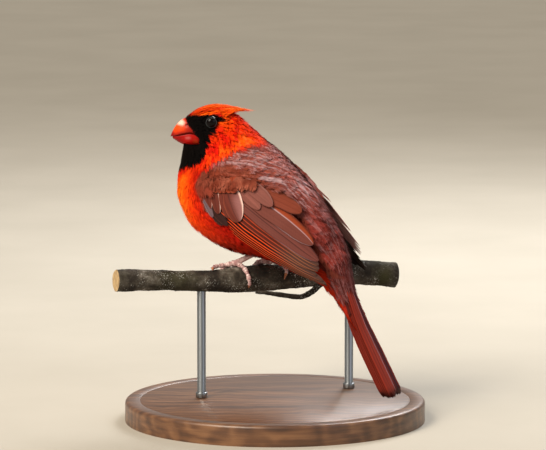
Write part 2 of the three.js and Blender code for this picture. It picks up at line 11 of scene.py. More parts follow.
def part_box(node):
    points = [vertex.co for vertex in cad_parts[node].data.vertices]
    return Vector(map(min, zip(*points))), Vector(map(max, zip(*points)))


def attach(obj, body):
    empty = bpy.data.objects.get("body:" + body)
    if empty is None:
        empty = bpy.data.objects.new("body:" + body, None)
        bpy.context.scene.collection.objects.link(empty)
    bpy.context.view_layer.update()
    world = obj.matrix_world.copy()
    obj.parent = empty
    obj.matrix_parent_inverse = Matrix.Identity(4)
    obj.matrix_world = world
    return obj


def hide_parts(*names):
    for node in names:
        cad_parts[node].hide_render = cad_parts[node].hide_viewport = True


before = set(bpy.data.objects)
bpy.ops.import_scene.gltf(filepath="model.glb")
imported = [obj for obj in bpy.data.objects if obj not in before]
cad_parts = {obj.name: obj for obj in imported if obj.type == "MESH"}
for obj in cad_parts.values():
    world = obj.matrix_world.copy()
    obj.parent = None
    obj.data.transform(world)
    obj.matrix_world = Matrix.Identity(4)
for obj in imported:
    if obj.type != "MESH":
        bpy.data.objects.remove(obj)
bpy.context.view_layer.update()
bpy.ops.object.select_all(action="DESELECT")


# Stand base: a round plinth turned from walnut, oiled and wiped, with its upper edge eased
# and a fine groove cut round the top near the rim. It stands on the floor and holds both rods.
def linear(code):
    """An sRGB hex colour as linear red, green, blue and alpha."""
    parts = [int(code[i : i + 2], 16) / 255 for i in (1, 3, 5)]
    curve = [c / 12.92 if c <= 0.04045 else ((c + 0.055) / 1.055) ** 2.4 for c in parts]
    return (*curve, 1.0)


def every(size):
    """The scale of a pattern whose cells are this many millimetres wide."""
    return 1000 / size


def add(material, kind, settings=None, sockets=None, stops=(), out=0, into=None):
    """One node with its settings, values, links and colour stops; gives one of its outputs,
    which may also go into a socket of the material's shader."""
    tree = material.node_tree
    node = tree.nodes.new("ShaderNode" + kind)
    for name, value in (settings or {}).items():
        setattr(node, name, value)
    for key, value in (sockets or {}).items():
        if isinstance(value, bpy.types.NodeSocket):
            tree.links.new(value, node.inputs[key])
        else:
            node.inputs[key].default_value = value
    for _ in stops[2:]:
        node.color_ramp.elements.new(0.5)
    for k, (place, code) in enumerate(stops):
        node.color_ramp.elements[k].position = place
        node.color_ramp.elements[k].color = linear(code)
    if into:
        tree.links.new(node.outputs[out], tree.nodes["Principled BSDF"].inputs[into])
    return node.outputs[out]


def new_material(name, **values):
    """A material with constant values on its shader's own sockets."""
    material = bpy.data.materials.new(name)
    material.use_nodes = True
    shader = material.node_tree.nodes["Principled BSDF"]
    for key, value in values.items():
        shader.inputs[key.replace("_", " ")].default_value = value
    return material


def settle(piece, slot_name, *nodes):
    """The piece's place goes into its mesh; it rides on the body and stands for its nodes."""
    bpy.ops.object.select_all(action="DESELECT")
    piece.select_set(True)
    bpy.context.view_layer.objects.active = piece
    bpy.ops.object.transform_apply(location=True, rotation=True, scale=True)
    piece.select_set(False)
    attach(piece, "root")
    if nodes:
        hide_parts(*nodes)


BASE_RADIUS, BASE_HEIGHT, BASE_EDGE = 0.086, 0.012, 0.002
GROOVE_FROM_RIM, GROOVE_WIDTH, GROOVE_DEPTH = 0.006, 0.0006, 0.0004
SHARP_EDGE = math.radians(35)
bpy.ops.mesh.primitive_cylinder_add(
    vertices=192, radius=BASE_RADIUS, depth=BASE_HEIGHT, location=(0, 0, BASE_HEIGHT / 2)
)
base = bpy.context.object
base.name = "stand_base_walnut"
bpy.ops.object.mode_set(mode="EDIT")
bpy.ops.mesh.select_all(action="DESELECT")
shape = bmesh.from_edit_mesh(base.data)
for edge in shape.edges:
    on_rim = max(len(face.verts) for face in edge.link_faces) > 4
    edge.select = on_rim and min(v.co.z for v in edge.verts) > 0
bmesh.update_edit_mesh(base.data)
bpy.ops.mesh.bevel(offset=BASE_EDGE, segments=5, profile=0.5)
bpy.ops.mesh.select_all(action="DESELECT")
shape = bmesh.from_edit_mesh(base.data)
for face in shape.faces:
    face.select = len(face.verts) > 4 and face.normal.z > 0.9
bmesh.update_edit_mesh(base.data)
bpy.ops.mesh.inset(thickness=GROOVE_FROM_RIM)
bpy.ops.mesh.inset(thickness=GROOVE_WIDTH, depth=-GROOVE_DEPTH)
bpy.ops.mesh.inset(thickness=GROOVE_WIDTH, depth=GROOVE_DEPTH)
bpy.ops.object.mode_set(mode="OBJECT")
bpy.ops.object.shade_smooth_by_angle(angle=SHARP_EDGE)

# Oiled walnut: brown bands wander across the disc with fine dark grain between them, under
# a low satin glow. Its pores are drawn 0.5 by 8 mm, coarser than real ones, so that they show.
walnut = new_material("Walnut, oiled", Roughness=0.42, Coat_Weight=0.25, Coat_Roughness=0.3)
place = add(walnut, "TexCoord", out="Object")
stretch = add(
    walnut, "Mapping",
    sockets={"Vector": place, "Scale": (every(71.4), every(10.5), every(2.38)), "Rotation": (0, 0, 0.2)},
)
grain = add(walnut, "TexNoise", sockets={"Vector": stretch, "Scale": 1.0, "Detail": 6.0})
ripple = add(walnut, "TexNoise", sockets={"Vector": place, "Scale": every(45.5), "Detail": 3.0}, out="Color")
bent = add(walnut, "Mix", {"data_type": "VECTOR"}, {"Factor": 0.04, 4: place, 5: ripple}, out=1)
bands = add(
    walnut, "TexWave", {"wave_type": "BANDS", "bands_direction": "Y"},
    {"Vector": bent, "Scale": every(23.8), "Distortion": 1.2, "Detail": 3.0, "Detail Scale": 1.2}, out="Fac",
)
both = add(walnut, "Math", {"operation": "MULTIPLY_ADD"}, {0: bands, 1: 0.22, 2: grain})
add(
    walnut, "ValToRGB", sockets={"Fac": both},
    stops=[(0.3, "#3a2416"), (0.58, "#5c3b24"), (0.85, "#7a5436")], into="Base Color",
)
along = add(walnut, "Mapping", sockets={"Vector": place, "Scale": (every(8.33), every(0.526), every(1.11))})
pores = add(walnut, "TexNoise", sockets={"Vector": along, "Scale": 1.0, "Detail": 2.0})
add(walnut, "Bump", sockets={"Height": pores, "Strength": 0.25, "Distance": 0.0003}, into="Normal")
base.data.materials.append(walnut)
settle(base, "stand_wood", "stand_base")


# Stand rods: two straight steel rods, drawn and brushed along their length, pressed into
# the plinth through a small turned collar and let into the underside of the branch.
ROD_RADIUS, COLLAR_HEIGHT, COLLAR_WALL, ROD_EDGE = 0.0025, 0.003, 0.0009, 0.0003

# Brushed steel: a mid-grey metal with long fine lines up the rod, 0.4 mm apart so that they show.
steel = new_material("Steel rod, brushed", Metallic=1.0, Roughness=0.34)
place = add(steel, "TexCoord", out="Object")
drawn = add(steel, "Mapping", sockets={"Vector": place, "Scale": (every(0.4), every(0.4), every(33.3))})
lines = add(steel, "TexNoise", sockets={"Vector": drawn, "Scale": 1.0, "Detail": 3.0})
add(steel, "ValToRGB", sockets={"Fac": lines}, stops=[(0.3, "#7f8386"), (0.7, "#a3a7aa")], into="Base Color")
add(steel, "Bump", sockets={"Height": lines, "Strength": 0.2, "Distance": 0.0001}, into="Normal")

for side in ("left", "right"):
    low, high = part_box("stand_rod_" + side)
    middle = (low + high) / 2
    bpy.ops.mesh.primitive_cylinder_add(
        vertices=48, radius=ROD_RADIUS, depth=high.z - low.z, location=middle
    )
    rod = bpy.context.object
    rod.name = "stand_rod_steel_" + side
    bpy.ops.object.mode_set(mode="EDIT")
    bpy.ops.mesh.bisect(plane_co=(middle.x, middle.y, low.z + COLLAR_HEIGHT), plane_no=(0, 0, 1))
    bpy.ops.mesh.select_all(action="DESELECT")
    shape = bmesh.from_edit_mesh(rod.data)
    for face in shape.faces:
        below = face.calc_center_median().z < low.z - middle.z + COLLAR_HEIGHT
        face.select = len(face.verts) == 4 and below
    bmesh.update_edit_mesh(rod.data)
    bpy.ops.mesh.extrude_region_shrink_fatten(TRANSFORM_OT_shrink_fatten={"value": COLLAR_WALL})
    bpy.ops.object.mode_set(mode="OBJECT")
    bevel = rod.modifiers.new("eased edges", "BEVEL")
    bevel.width = ROD_EDGE
    bevel.segments = 2
    bpy.ops.object.modifier_apply(modifier="eased edges")
    bpy.ops.object.shade_smooth_by_angle(angle=SHARP_EDGE)
    rod.data.materials.append(steel)
    settle(rod, "stand_steel", "stand_rod_" + side)


# Perch: a length of hardwood branch, sawn at both ends, with its thin grey-olive bark left
# on: shallow wrinkles round it, low swellings and small warts, pale flecks of lichen. A thin
# twig springs from its right half and curves back under it.
PERCH_TOP = np.array([-11.5, 15.0, 88.0])
# Along each: x, y and height from the top of the perch, then for the branch its radius, in mm.
BRANCH = [
    [-79, -28.8, -5.2, 6.4],
    [-54.6, -19.9, -6.5, 5.8],
    [-31.6, -11.5, -8.2, 5.9],
    [-8.6, -3.1, -8.4, 7.4],
    [14, 5.1, -8.2, 7.5],
    [36, 13.1, -7.9, 7.1],
    [58, 21.1, -8.0, 7.0],
    [81, 29.5, -10.6, 7.3],
]
TWIG = [
    [41, 10, -9.5],
    [37, 9.5, -13.4],
    [32.8, 7, -17.3],
    [25.9, 2.5, -19.5],
    [14.4, -3, -17.4],
    [7, -6.6, -15.8],
    [0.5, -9.4, -15],
]
TWIG_RADIUS = [2.1, 2.0, 1.7, 1.5, 1.35, 1.2, 0.85]
BRANCH_SIDES, BRANCH_RINGS, TWIG_SIDES, TWIG_RINGS = 72, 300, 24, 120
NODE_SPACING, NODE_WIDTH, NODE_SWELL = 1.6, 0.12, 0.12
TUBE_UP = np.array([0.13, 0.21, 0.97])


def smooth(rows, s):
    """A smooth curve through rows of numbers, at whole values of s."""
    rows, s = np.asarray(rows, float), np.asarray(s, float)
    last = len(rows) - 1
    i = np.clip(np.floor(s).astype(int), 0, last - 1)
    t = np.clip(s - i, None, 1)[..., None]
    a, b, d, e = rows[np.maximum(i - 1, 0)], rows[i], rows[i + 1], rows[np.minimum(i + 2, last)]
    m0 = np.where((i == 0)[..., None], d - b, (d - a) / 2)
    m1 = np.where((i + 1 == last)[..., None], d - b, (e - b) / 2)
    curve = (2 * t**3 - 3 * t**2 + 1) * b + (t**3 - 2 * t**2 + t) * m0
    curve = curve + (3 * t**2 - 2 * t**3) * d + (t**3 - t**2) * m1
    return curve + np.clip(s - last, 0, None)[..., None] * (d - b)


def lumps(p, scale, seed):
    """Soft random swellings over space, from -1 to 1, alike at every run. Large primes mix
    each cell's three numbers and the seed into its own height."""
    q = np.asarray(p, float) / scale + seed * 7.31
    cell = np.floor(q).astype(np.int64)
    f = q - cell
    f = f * f * (3 - 2 * f)
    total = 0
    for corner in np.ndindex(2, 2, 2):
        c = cell + corner
        h = (c[..., 0] * 73856093) ^ (c[..., 1] * 19349663) ^ (c[..., 2] * 83492791) ^ (seed * 2654435)
        h = (h ^ (h >> 13)) * 1274126177 & 0xFFFFFFFF
        weight = np.prod([f[..., k] if corner[k] else 1 - f[..., k] for k in range(3)], axis=0)
        total = total + weight * ((h >> 8) / 8388608.0 - 1)
    return total


def unit(v):
    return v / np.linalg.norm(v, axis=-1, keepdims=True)


def tube(path, radii, sides):
    """Rings of points round a path, with their outward directions."""
    along = unit(np.gradient(path, axis=0))
    side = unit(np.cross(along, unit(TUBE_UP)))
    over = np.cross(side, along)
    angle = np.linspace(0, 2 * np.pi, sides, endpoint=False)
    out = side[:, None] * np.cos(angle)[:, None] + over[:, None] * np.sin(angle)[:, None]
    return path[:, None] + out * np.asarray(radii)[:, None, None], out


def grid_faces(rows, columns):
    """Four-sided faces over rows of points, each row closed on itself."""
    r = np.arange(rows - 1)[:, None]
    c = np.arange(columns)[None]
    a, b = r * columns + c, r * columns + (c + 1) % columns
    return np.stack([a, b, b + columns, a + columns], -1).reshape(-1, 4)


def capped(rows, columns):
    """Faces of a tube with a fan at each end; the two middle points come last."""
    k = np.arange(columns)
    first = np.stack([np.full(columns, rows * columns), (k + 1) % columns, k], -1)
    start = (rows - 1) * columns
    last = np.stack([np.full(columns, rows * columns + 1), start + k, start + (k + 1) % columns], -1)
    return [grid_faces(rows, columns)[:, ::-1], first[:, ::-1], last[:, ::-1]]


def closed(rings, *values):
    """A closed tube as a part of a piece: its faces, its points and the values at them. The
    middle of each end takes the values of the tube's first or last point."""
    flat = [v.reshape(-1, *v.shape[2:]) for v in values]
    points = np.concatenate([rings.reshape(-1, 3), rings[:1].mean(1), rings[-1:].mean(1)])
    return [capped(*rings.shape[:2]), points] + [np.concatenate([v, v[:1], v[-1:]]) for v in flat]


def new_piece(name, material, parts):
    """A mesh object of many parts. Each part has a list of face arrays and its points in
    millimetres, and may have a colour, a place on the map and a barb number at each point."""
    faces, total = [], 0
    for part in parts:
        faces += [np.asarray(f, np.int32) + total for f in part[0]]
        total += len(part[1])
    points, *values = [np.concatenate(group) for group in zip(*[part[1:] for part in parts])]
    colours, places, barb = [*values, None, None, None][:3]
    loops = np.concatenate([f.ravel() for f in faces])
    sizes = np.concatenate([np.full(len(f), f.shape[1], np.int32) for f in faces])
    starts = np.concatenate([[0], np.cumsum(sizes)[:-1]]).astype(np.int32)
    mesh = bpy.data.meshes.new(name)
    mesh.vertices.add(total)
    mesh.vertices.foreach_set("co", (np.asarray(points, np.float32) / 1000).ravel())
    mesh.loops.add(len(loops))
    mesh.loops.foreach_set("vertex_index", loops)
    mesh.polygons.add(len(sizes))
    mesh.polygons.foreach_set("loop_start", starts)
    mesh.polygons.foreach_set("loop_total", sizes)
    mesh.polygons.foreach_set("use_smooth", np.full(len(sizes), True))
    mesh.update(calc_edges=True)
    if colours is not None:
        layer = mesh.color_attributes.new("plumage", "FLOAT_COLOR", "POINT")
        rgba = np.ones((total, 4), np.float32)
        rgba[:, :3] = np.clip(np.asarray(colours, np.float32), 0, 0.96)
        layer.data.foreach_set("color", rgba.ravel())
    if barb is not None:
        layer = mesh.attributes.new("barb", "FLOAT", "POINT")
        layer.data.foreach_set("value", np.asarray(barb, np.float32))
    if places is not None:
        layer = mesh.uv_layers.new(name="OFBake")
        layer.data.foreach_set("uv", np.asarray(places, np.float32)[loops].ravel())
    mesh.materials.append(material)
    piece = bpy.data.objects.new(name, mesh)
    bpy.context.scene.collection.objects.link(piece)
    return piece


def bark_on(rings, out, radius, seed):
    """Wrinkles, swellings and small warts pushed out of a smooth branch."""
    swell = 0.07 * radius * lumps(rings, 9.0, seed) + 0.035 * radius * lumps(rings, 3.6, seed + 1)
    wrinkle = 0.11 * lumps(rings * np.array([1, 1, 0.6]), 1.1, seed + 2)
    wart = np.clip(lumps(rings, 1.9, seed + 3) - 0.62, 0, 1) * 1.1
    return rings + out * (swell + wrinkle + wart)[..., None]


def grained(name, size, detail, dark, light, relief=None, **values):
    """A material whose tone wanders between two colours in soft grains of a size in
    millimetres; relief is the strength and depth of the bumps that they make."""
    material = new_material(name, **values)
    place = add(material, "TexCoord", out="Object")
    grain = add(material, "TexNoise", sockets={"Vector": place, "Scale": every(size), "Detail": detail})
    add(material, "ValToRGB", sockets={"Fac": grain}, stops=[(0.3, dark), (0.7, light)], into="Base Color")
    if relief:
        sockets = {"Height": grain, "Strength": relief[0], "Distance": relief[1]}
        add(material, "Bump", sockets=sockets, into="Normal")
    return material


# Thin bark: dull and dry, near black in its cracks and grey-brown on its ridges, with a green
# bloom in broad patches and groups of pale lichen flecks just under a millimetre across.
bark = new_material("Bark, thin and grey-olive", Roughness=0.93, Specular_IOR_Level=0.25)
place = add(bark, "TexCoord", out="Object")
cloud, moss, fleck, group = [
    add(
        bark, "TexNoise",
        sockets={"Vector": place, "Scale": every(size), "Detail": detail, "Roughness": rough},
    )
    for size, detail, rough in ((13.3, 6.0, 0.65), (29.4, 3.0, 0.5), (0.87, 4.0, 0.65), (11.1, 2.0, 0.5))
]
ground = add(
    bark, "ValToRGB", sockets={"Fac": cloud},
    stops=[(0.32, "#14100d"), (0.46, "#2e2822"), (0.57, "#4e483f"), (0.7, "#86817a")],
)
mossy, spots, groups = [
    add(bark, "MapRange", sockets={"Value": noise, "From Min": low, "From Max": high})
    for noise, low, high in ((moss, 0.5, 0.68), (fleck, 0.57, 0.66), (group, 0.47, 0.62))
]
flecks = add(bark, "Math", {"operation": "MULTIPLY"}, {0: spots, 1: groups})
olive = add(bark, "Mix", {"data_type": "RGBA"}, {"Factor": mossy, 6: ground, 7: linear("#36341f")}, out=2)
add(
    bark, "Mix", {"data_type": "RGBA"},
    {"Factor": flecks, 6: olive, 7: linear("#b9b9b2")}, out=2, into="Base Color",
)
fibre = add(
    bark, "Mapping",
    sockets={"Vector": place, "Rotation": (0, 0, -0.36), "Scale": (every(6.25), every(1.43), every(1.43))},
)
rough = add(bark, "TexNoise", sockets={"Vector": fibre, "Scale": 1.0, "Detail": 6.0, "Roughness": 0.65})
add(bark, "Bump", sockets={"Height": rough, "Strength": 0.9, "Distance": 0.0008}, into="Normal")

# Sawn end grain: dull, pale straw-brown wood, mottled where the saw has torn it.
sawn = grained("Sawn end grain", 2.5, 4.0, "#8f7350", "#c3a679", Roughness=0.85)

steps = np.linspace(0, len(BRANCH) - 1, BRANCH_RINGS)
axis = smooth(BRANCH, steps)
rings, out = tube(axis[:, :3], axis[:, 3], BRANCH_SIDES)
rings = bark_on(rings, out, axis[:, 3][:, None], 3)
branch = new_piece("perch_branch_bark", bark, [closed(rings + PERCH_TOP)])
branch.data.materials.append(sawn)
for face in branch.data.polygons[-2 * BRANCH_SIDES :]:
    face.material_index = 1
    face.use_smooth = False
settle(branch, "bark", "perch_branch")

steps = np.linspace(0, len(TWIG) - 1, TWIG_RINGS)
thick = np.interp(steps, range(len(TWIG)), TWIG_RADIUS)
joints = np.exp(-(((steps % NODE_SPACING) - NODE_SPACING / 2) / NODE_WIDTH) ** 2)
thick = thick * (1 + NODE_SWELL * joints)
rings, out = tube(smooth(TWIG, steps), thick, TWIG_SIDES)
rings = bark_on(rings, out, thick[:, None], 8)
twig = new_piece("perch_twig_bark", bark, [closed(rings + PERCH_TOP)])
settle(twig, "bark", "perch_twig")


# Legs: short bare tarsi and four toes each, wrapped round the branch. The skin is pinkish
# grey horn in overlapping scutes across the front, and each toe ends in a curved claw.
BODY_YAW, BODY_ROLL = math.radians(145), math.radians(-6)
TURN = np.array(Matrix.Rotation(BODY_YAW, 3, "Z") @ Matrix.Rotation(BODY_ROLL, 3, "X"))
# Each foot's place along the branch, then its toes: millimetres along the branch from there,
# and degrees round it from the top to the front, at each joint.
TOES = {
    "left": (
        -11.6,
        [
            [[1, 4], [3, 30], [4.5, 62], [5.5, 95], [5.6, 122]],
            [[-1, -4], [-5, -8], [-9, -6], [-12.4, 4], [-13.6, 26]],
            [[-1, -12], [-4, -40], [-6, -72], [-7, -104], [-7.4, -132]],
            [[1, -10], [1.5, -42], [1.6, -76], [1.4, -108], [1, -134]],
        ],
    ),
    "right": (
        5.2,
        [
            [[1, 2], [5, 10], [9, 28], [10.2, 60], [8.8, 92]],
            [[-1, -8], [-3, -40], [-4, -72], [-4.4, -104], [-4.4, -132]],
            [[0, -12], [0.6, -46], [1, -80], [1, -112], [1, -138]],
            [[1.5, -8], [4.5, -38], [6, -72], [6.6, -104], [6.6, -130]],
        ],
    ),
}
TOE_RADIUS = [1.5, 1.3, 1.2, 1.0, 0.35]
TOE_THICKNESS = [[0, 1, 2, 3, 4, 4.4], [1.7, 1.5, 1.28, 1.2, 1.05, 0.95]]
CLAW_THICKNESS = [[4.15, 4.4, 4.75, 5], [0.62, 0.8, 0.5, 0.12]]
TARSUS_THICKNESS = [[0, 0.12, 0.5, 1], [1.95, 1.65, 1.45, 1.75]]
TARSUS_BACK, TARSUS_RISE = 22.9, 11.2
TOE_SCUTE, TARSUS_SCUTE = 1.45, 3.6
TOE_SIDES, CLAW_SIDES = 24, 12
# The branch's front, level and square to it, and its top.
FRONT, UP = np.array([0.342, -0.94, 0]), np.array([0, 0, 1])


def ease(x, low, high):
    """From nothing at the low value to one at the high one, smoothly."""
    t = np.clip((np.asarray(x, float) - low) / (high - low), 0, 1)
    return t * t * (3 - 2 * t)


def rgb(code):
    return np.array(linear(code)[:3])


def blend(a, b, share):
    """Colour a, with a share of colour b."""
    a, b = [rgb(c) if isinstance(c, str) else c for c in (a, b)]
    return a + (b - a) * np.asarray(share)[..., None]


def on_branch(x, degrees, lift):
    """A point round the branch: along it, degrees from the top to the front, above the bark."""
    s = np.interp(x, axis[:, 0], np.linspace(0, len(BRANCH) - 1, BRANCH_RINGS))
    centre = smooth(BRANCH, s)
    angle = math.radians(degrees)
    out = FRONT * math.sin(angle) + UP * math.cos(angle)
    return centre[:3] + out * (centre[3] + lift)


def scutes(line, radii, pitch, depth, seams=0.0):
    """A toe or tarsus: a tube whose horn scales overlap like tiles towards the claw."""
    far = np.concatenate([[0], np.cumsum(np.linalg.norm(np.diff(line, axis=0), axis=1))])
    saw = (far / pitch + 0.22 * np.sin(far * 1.1 + line[0, 0])) % 1
    rings, out = tube(line, radii, TOE_SIDES)
    upper = np.clip(out[..., 2] * 0.9 + 0.45, 0, 1)
    groove = np.maximum(ease(saw, 0.34, 0.0), ease(saw, 0.88, 1.0))[:, None] * (0.4 + 0.6 * upper)
    around = np.linspace(0, 2 * np.pi, TOE_SIDES, endpoint=False)
    mottle = ease(lumps(rings, 1.3, 61) + 0.6 * lumps(rings, 0.5, 62), -0.7, 0.7)
    # Painted light: the pale clouds are stronger on the upper side of each toe and tarsus.
    tone = blend("#a87c7c", "#f0d6d2", mottle * (0.5 + 0.5 * upper))
    tone = blend(tone, "#6c4c48", seams * ease(np.abs(np.sin(2.5 * around + 0.4)), 0.35, 0.05))
    # Painted shade in the grooves between the scutes, deeper on the upper side.
    tone = blend(tone, "#5c3a38", groove * (0.8 - 0.6 * seams))
    return closed(rings + out * (depth * (saw**2 - 0.3)[:, None] * upper)[..., None] + PERCH_TOP, tone)


def paint(material, grain, spread):
    """The colours at the piece's points go to its shader, lighter and darker by a grain."""
    tone = add(material, "VertexColor", {"layer_name": "plumage"})
    level = add(material, "MapRange", sockets={"Value": grain, "To Min": 1 - spread, "To Max": 1 + spread})
    add(material, "VectorMath", {"operation": "SCALE"}, {0: tone, "Scale": level}, into="Base Color")


# Leg skin: dry pink-grey horn with a dull shine, clouded, paler on its upper side as painted light and
# darker in the grooves between scutes as painted shade, and finely wrinkled in bumps of 0.7 mm, coarser than
# real ones so that they show.
leg_skin = new_material("Horny leg skin", Roughness=0.5, Specular_IOR_Level=0.45)
place = add(leg_skin, "TexCoord", out="Object")
cloud = add(leg_skin, "TexNoise", sockets={"Vector": place, "Scale": every(3.85), "Detail": 5.0})
paint(leg_skin, cloud, 0.25)
wrinkles = add(leg_skin, "TexNoise", sockets={"Vector": place, "Scale": every(0.714), "Detail": 3.0})
add(leg_skin, "Bump", sockets={"Height": wrinkles, "Strength": 0.4, "Distance": 0.0002}, into="Normal")

# Claw horn: smooth, half-glossy brown horn, streaked lighter and darker.
claw_horn = grained("Claw horn", 2.0, 2.0, "#6a3420", "#b87248", Roughness=0.32, Specular_IOR_Level=0.5)

backward = unit((TURN @ np.array([-1.0, 0, 0])) * np.array([1, 1, 0]))
for side, (at, toes) in TOES.items():
    root = on_branch(at, -2, 2.0)
    t = np.linspace(0, 1, 60)
    shank = root + (backward * TARSUS_BACK + UP * TARSUS_RISE) * t[:, None]
    soft = [scutes(shank, np.interp(t, *TARSUS_THICKNESS), TARSUS_SCUTE, 0.12, seams=0.8)]
    claws = []
    for toe in toes:
        points = [root + 0.2 * UP]
        points += [on_branch(at + x, a, 0.3 + r + 0.12) for (x, a), r in zip(toe, TOE_RADIUS)]
        s = np.linspace(0, 5, 110)
        line = smooth(points, s)
        pads = 0.2 * np.cos((s - 0.5) * 2 * np.pi)
        thick = np.interp(s, *TOE_THICKNESS) + pads
        fleshy, horny = s < 4.35, s > 4.15
        soft.append(scutes(line[fleshy], thick[fleshy], TOE_SCUTE, 0.22))
        nail = tube(line[horny], np.interp(s[horny], *CLAW_THICKNESS), CLAW_SIDES)[0]
        claws.append(closed(nail + PERCH_TOP))
    settle(new_piece("leg_skin_" + side, leg_skin, soft), "foot_skin", "leg_" + side)
    settle(new_piece("claws_" + side, claw_horn, claws), "foot_skin")


# Skin: the bird's own surface under its feathers, one closed form from the face to the tail,
# hidden almost everywhere. It carries the plumage's colours, so that no gap shows pale.

# Sections of the bird with its head straight, from the face to the tail, in mm: x and z of
# the back, x and z of the belly, half the width, and how much wider it is near the back.
BODY = [
    [38.3, 85.6, 38.8, 70.5, 3.6, 0.1],
    [33.2, 89.5, 40.0, 66.3, 6.6, 0.35],
    [26.4, 90.9, 41.4, 60.5, 9.4, 0.5],
    [17.5, 91.3, 43.3, 54.0, 11.4, 0.45],
    [7.6, 87.6, 44.2, 47.7, 13.4, 0.2],
    [0.7, 81.2, 44.8, 41.0, 18.7, 0],
    [-6.6, 74.0, 42.6, 32.3, 23.2, -0.1],
    [-17.2, 66.8, 36.6, 21.0, 27.2, -0.1],
    [-28.6, 58.6, 23.0, 12.4, 28.2, -0.1],
    [-38.2, 49.4, 5.0, 6.6, 26.4, -0.1],
    [-48.8, 37.4, -16.0, 1.6, 22.4, -0.1],
    [-58.2, 24.0, -30.6, -4.0, 17.6, -0.1],
    [-64.4, 9.4, -43.6, -8.0, 12.4, -0.1],
    [-66.6, -6.6, -55.4, -14.8, 8.6, -0.1],
    [-70.6, -21.4, -65.4, -24.4, 7.8, -0.1],
]
COAT_DEPTH = [[0, 1, 3, 4.5, 6, 10, 12, 14], [0.8, 1.2, 1.9, 2.8, 3.6, 3.8, 2.6, 1.6]]
HEAD_TURN, HEAD_AXIS, NECK_TOP, NECK_FOOT = math.radians(35), 12.0, 3.4, 8.4
# The folded wing's chart, in mm: a runs from the wrist along the wing, q up its side.
WRIST = np.array([20.6, 0, 48.9])
ALONG = np.array([-0.862, 0, -0.507])
DORSAL = np.array([-0.507, 0, 0.862])
WRAP, WING_LENGTH = 27.0, 99
SIDE_RADIUS = [[0, 20, 40, 60, 80, 99], [25.5, 29.4, 30.8, 29.6, 26.4, 22.4]]
BACK_RADIUS = [[0, 20, 40, 60, 80, 99], [28.5, 34.5, 35.5, 32, 25, 18]]
WING_LOW = [[0, 6, 12, 18, 30, 90, 99], [-0.5, -4.6, -7.6, -8.2, -7.6, -7.4, -5.4]]
WING_HIGH = [
    [0, 10, 20, 30, 40, 50, 62, 70, 80, 90, 95, 99],
    [5, 13, 18.5, 23, 27, 29.5, 29, 25, 19, 10, 4, 0],
]
# Where the head's red ends on the nape, by degrees from the back and section.
NECK_LINE = [[0, 10, 30, 70, 95, 101], [6.15, 6.1, 5.77, 5.21, 4.9, 4.5]]
# The black mask and the bill's base from the side, as x and z, and the shoulder on the wing.
MASK = np.array([
    [40.5, 87.6], [36.4, 89.2], [34.6, 88.8], [33.0, 88.6], [30.5, 88.2], [27.5, 87.9], [24.5, 88.3],
    [21.5, 88.5], [18.6, 87.8], [16.4, 86.0], [13.0, 85.6], [16.4, 83.4], [17.4, 80.8], [20.4, 78.0],
    [23.6, 75.3], [23.2, 72.2], [25.5, 68.9], [27.3, 63.8], [29.9, 61.2], [33.9, 59.0], [38.7, 58.2],
    [42.0, 56.0], [60.0, 54.0], [60.0, 87.6],
])
BILL_BASE = np.array([
    [38.7, 86.1], [34, 81.6], [30.6, 76.6], [29.9, 72], [31.2, 70.8], [39, 71.2], [52, 71], [52, 88],
])
SHOULDER = np.array([
    [-4, 6], [-2.5, 12], [2, 17], [7.6, 20.5], [16, 22.4],
    [24.3, 22.8], [32, 19.6], [23, 11], [14.5, 7], [5.4, 4],
])
UNDER_WING, MOST_SUNK = 5.4, 7
SKIN_ROWS, SKIN_COLUMNS = 150, 96
BARBS_PER_MM, MAP_SECTIONS = 2.4, 14.5


def body_at(s, angle, grow=0.0):
    """A point of the straight bird at section s, angle from the back, above the surface."""
    row = smooth(BODY, s)
    grow = grow + np.zeros(np.shape(s))
    zero = np.zeros_like(row[..., 0])
    back = np.stack([row[..., 0], zero, row[..., 1]], -1)
    belly = np.stack([row[..., 2], zero, row[..., 3]], -1)
    depth = np.linalg.norm(back - belly, axis=-1, keepdims=True)
    p = (back + belly) / 2
    p = p + (back - belly) / depth * (depth / 2 + grow[..., None]) * np.cos(angle)[..., None]
    p[..., 1] += (row[..., 4] + grow) * np.sin(angle) * (1 + row[..., 5] * np.cos(angle))
    return p


def head_turned(p, angle):
    """Points turned about the neck's upright axis."""
    x, y = p[..., 0] - HEAD_AXIS, p[..., 1]
    c, s = np.cos(angle), np.sin(angle)
    return np.stack([HEAD_AXIS + x * c - y * s, x * s + y * c, p[..., 2]], -1)


def neck_twist(s):
    return HEAD_TURN * (1 - ease(s, NECK_TOP, NECK_FOOT))


def body_surface(s, angle, height=0.0):
    """A point of the bird with its head turned, at a height over its surface."""
    return head_turned(body_at(s, angle, height), neck_twist(s))


def posed(p):
    """From the bird's own frame to the model's."""
    return p @ TURN.T + PERCH_TOP


def over_wing(p):
    """Where a point of the body lies over the wing on its side: a, q and height."""
    d = p - WRIST
    a, rise = d @ ALONG, d @ DORSAL
    sr, br = np.interp(a, *SIDE_RADIUS), np.interp(a, *BACK_RADIUS)
    angle = np.arctan2(rise / br, np.abs(p[..., 1]) / sr)
    reach = np.hypot(rise / br, p[..., 1] / sr)
    size = np.hypot(br * np.sin(angle), sr * np.cos(angle))
    return a, angle * WRAP, (reach - 1) * size


def wing_inside(a, q):
    """How far a place lies inside the folded wing's outline, in millimetres."""
    edge = np.minimum(q - np.interp(a, *WING_LOW), np.interp(a, *WING_HIGH) - q)
    return np.minimum(edge, np.minimum(a, WING_LENGTH - a))


def from_back(angle):
    """Degrees from the back to a place round the body, on either side."""
    return np.degrees(np.abs((angle + np.pi) % (2 * np.pi) - np.pi))


def vent(s, angle):
    """The belly behind the legs, where the coat is loosest."""
    return ease(from_back(angle), 100, 125) * ease(s, 8.2, 9.4) * ease(s, 12.8, 11.8)


def coat_depth(s, angle):
    """Thickness of the feather coat over the skin."""
    return np.interp(s, *COAT_DEPTH) + 2.0 * vent(s, angle)


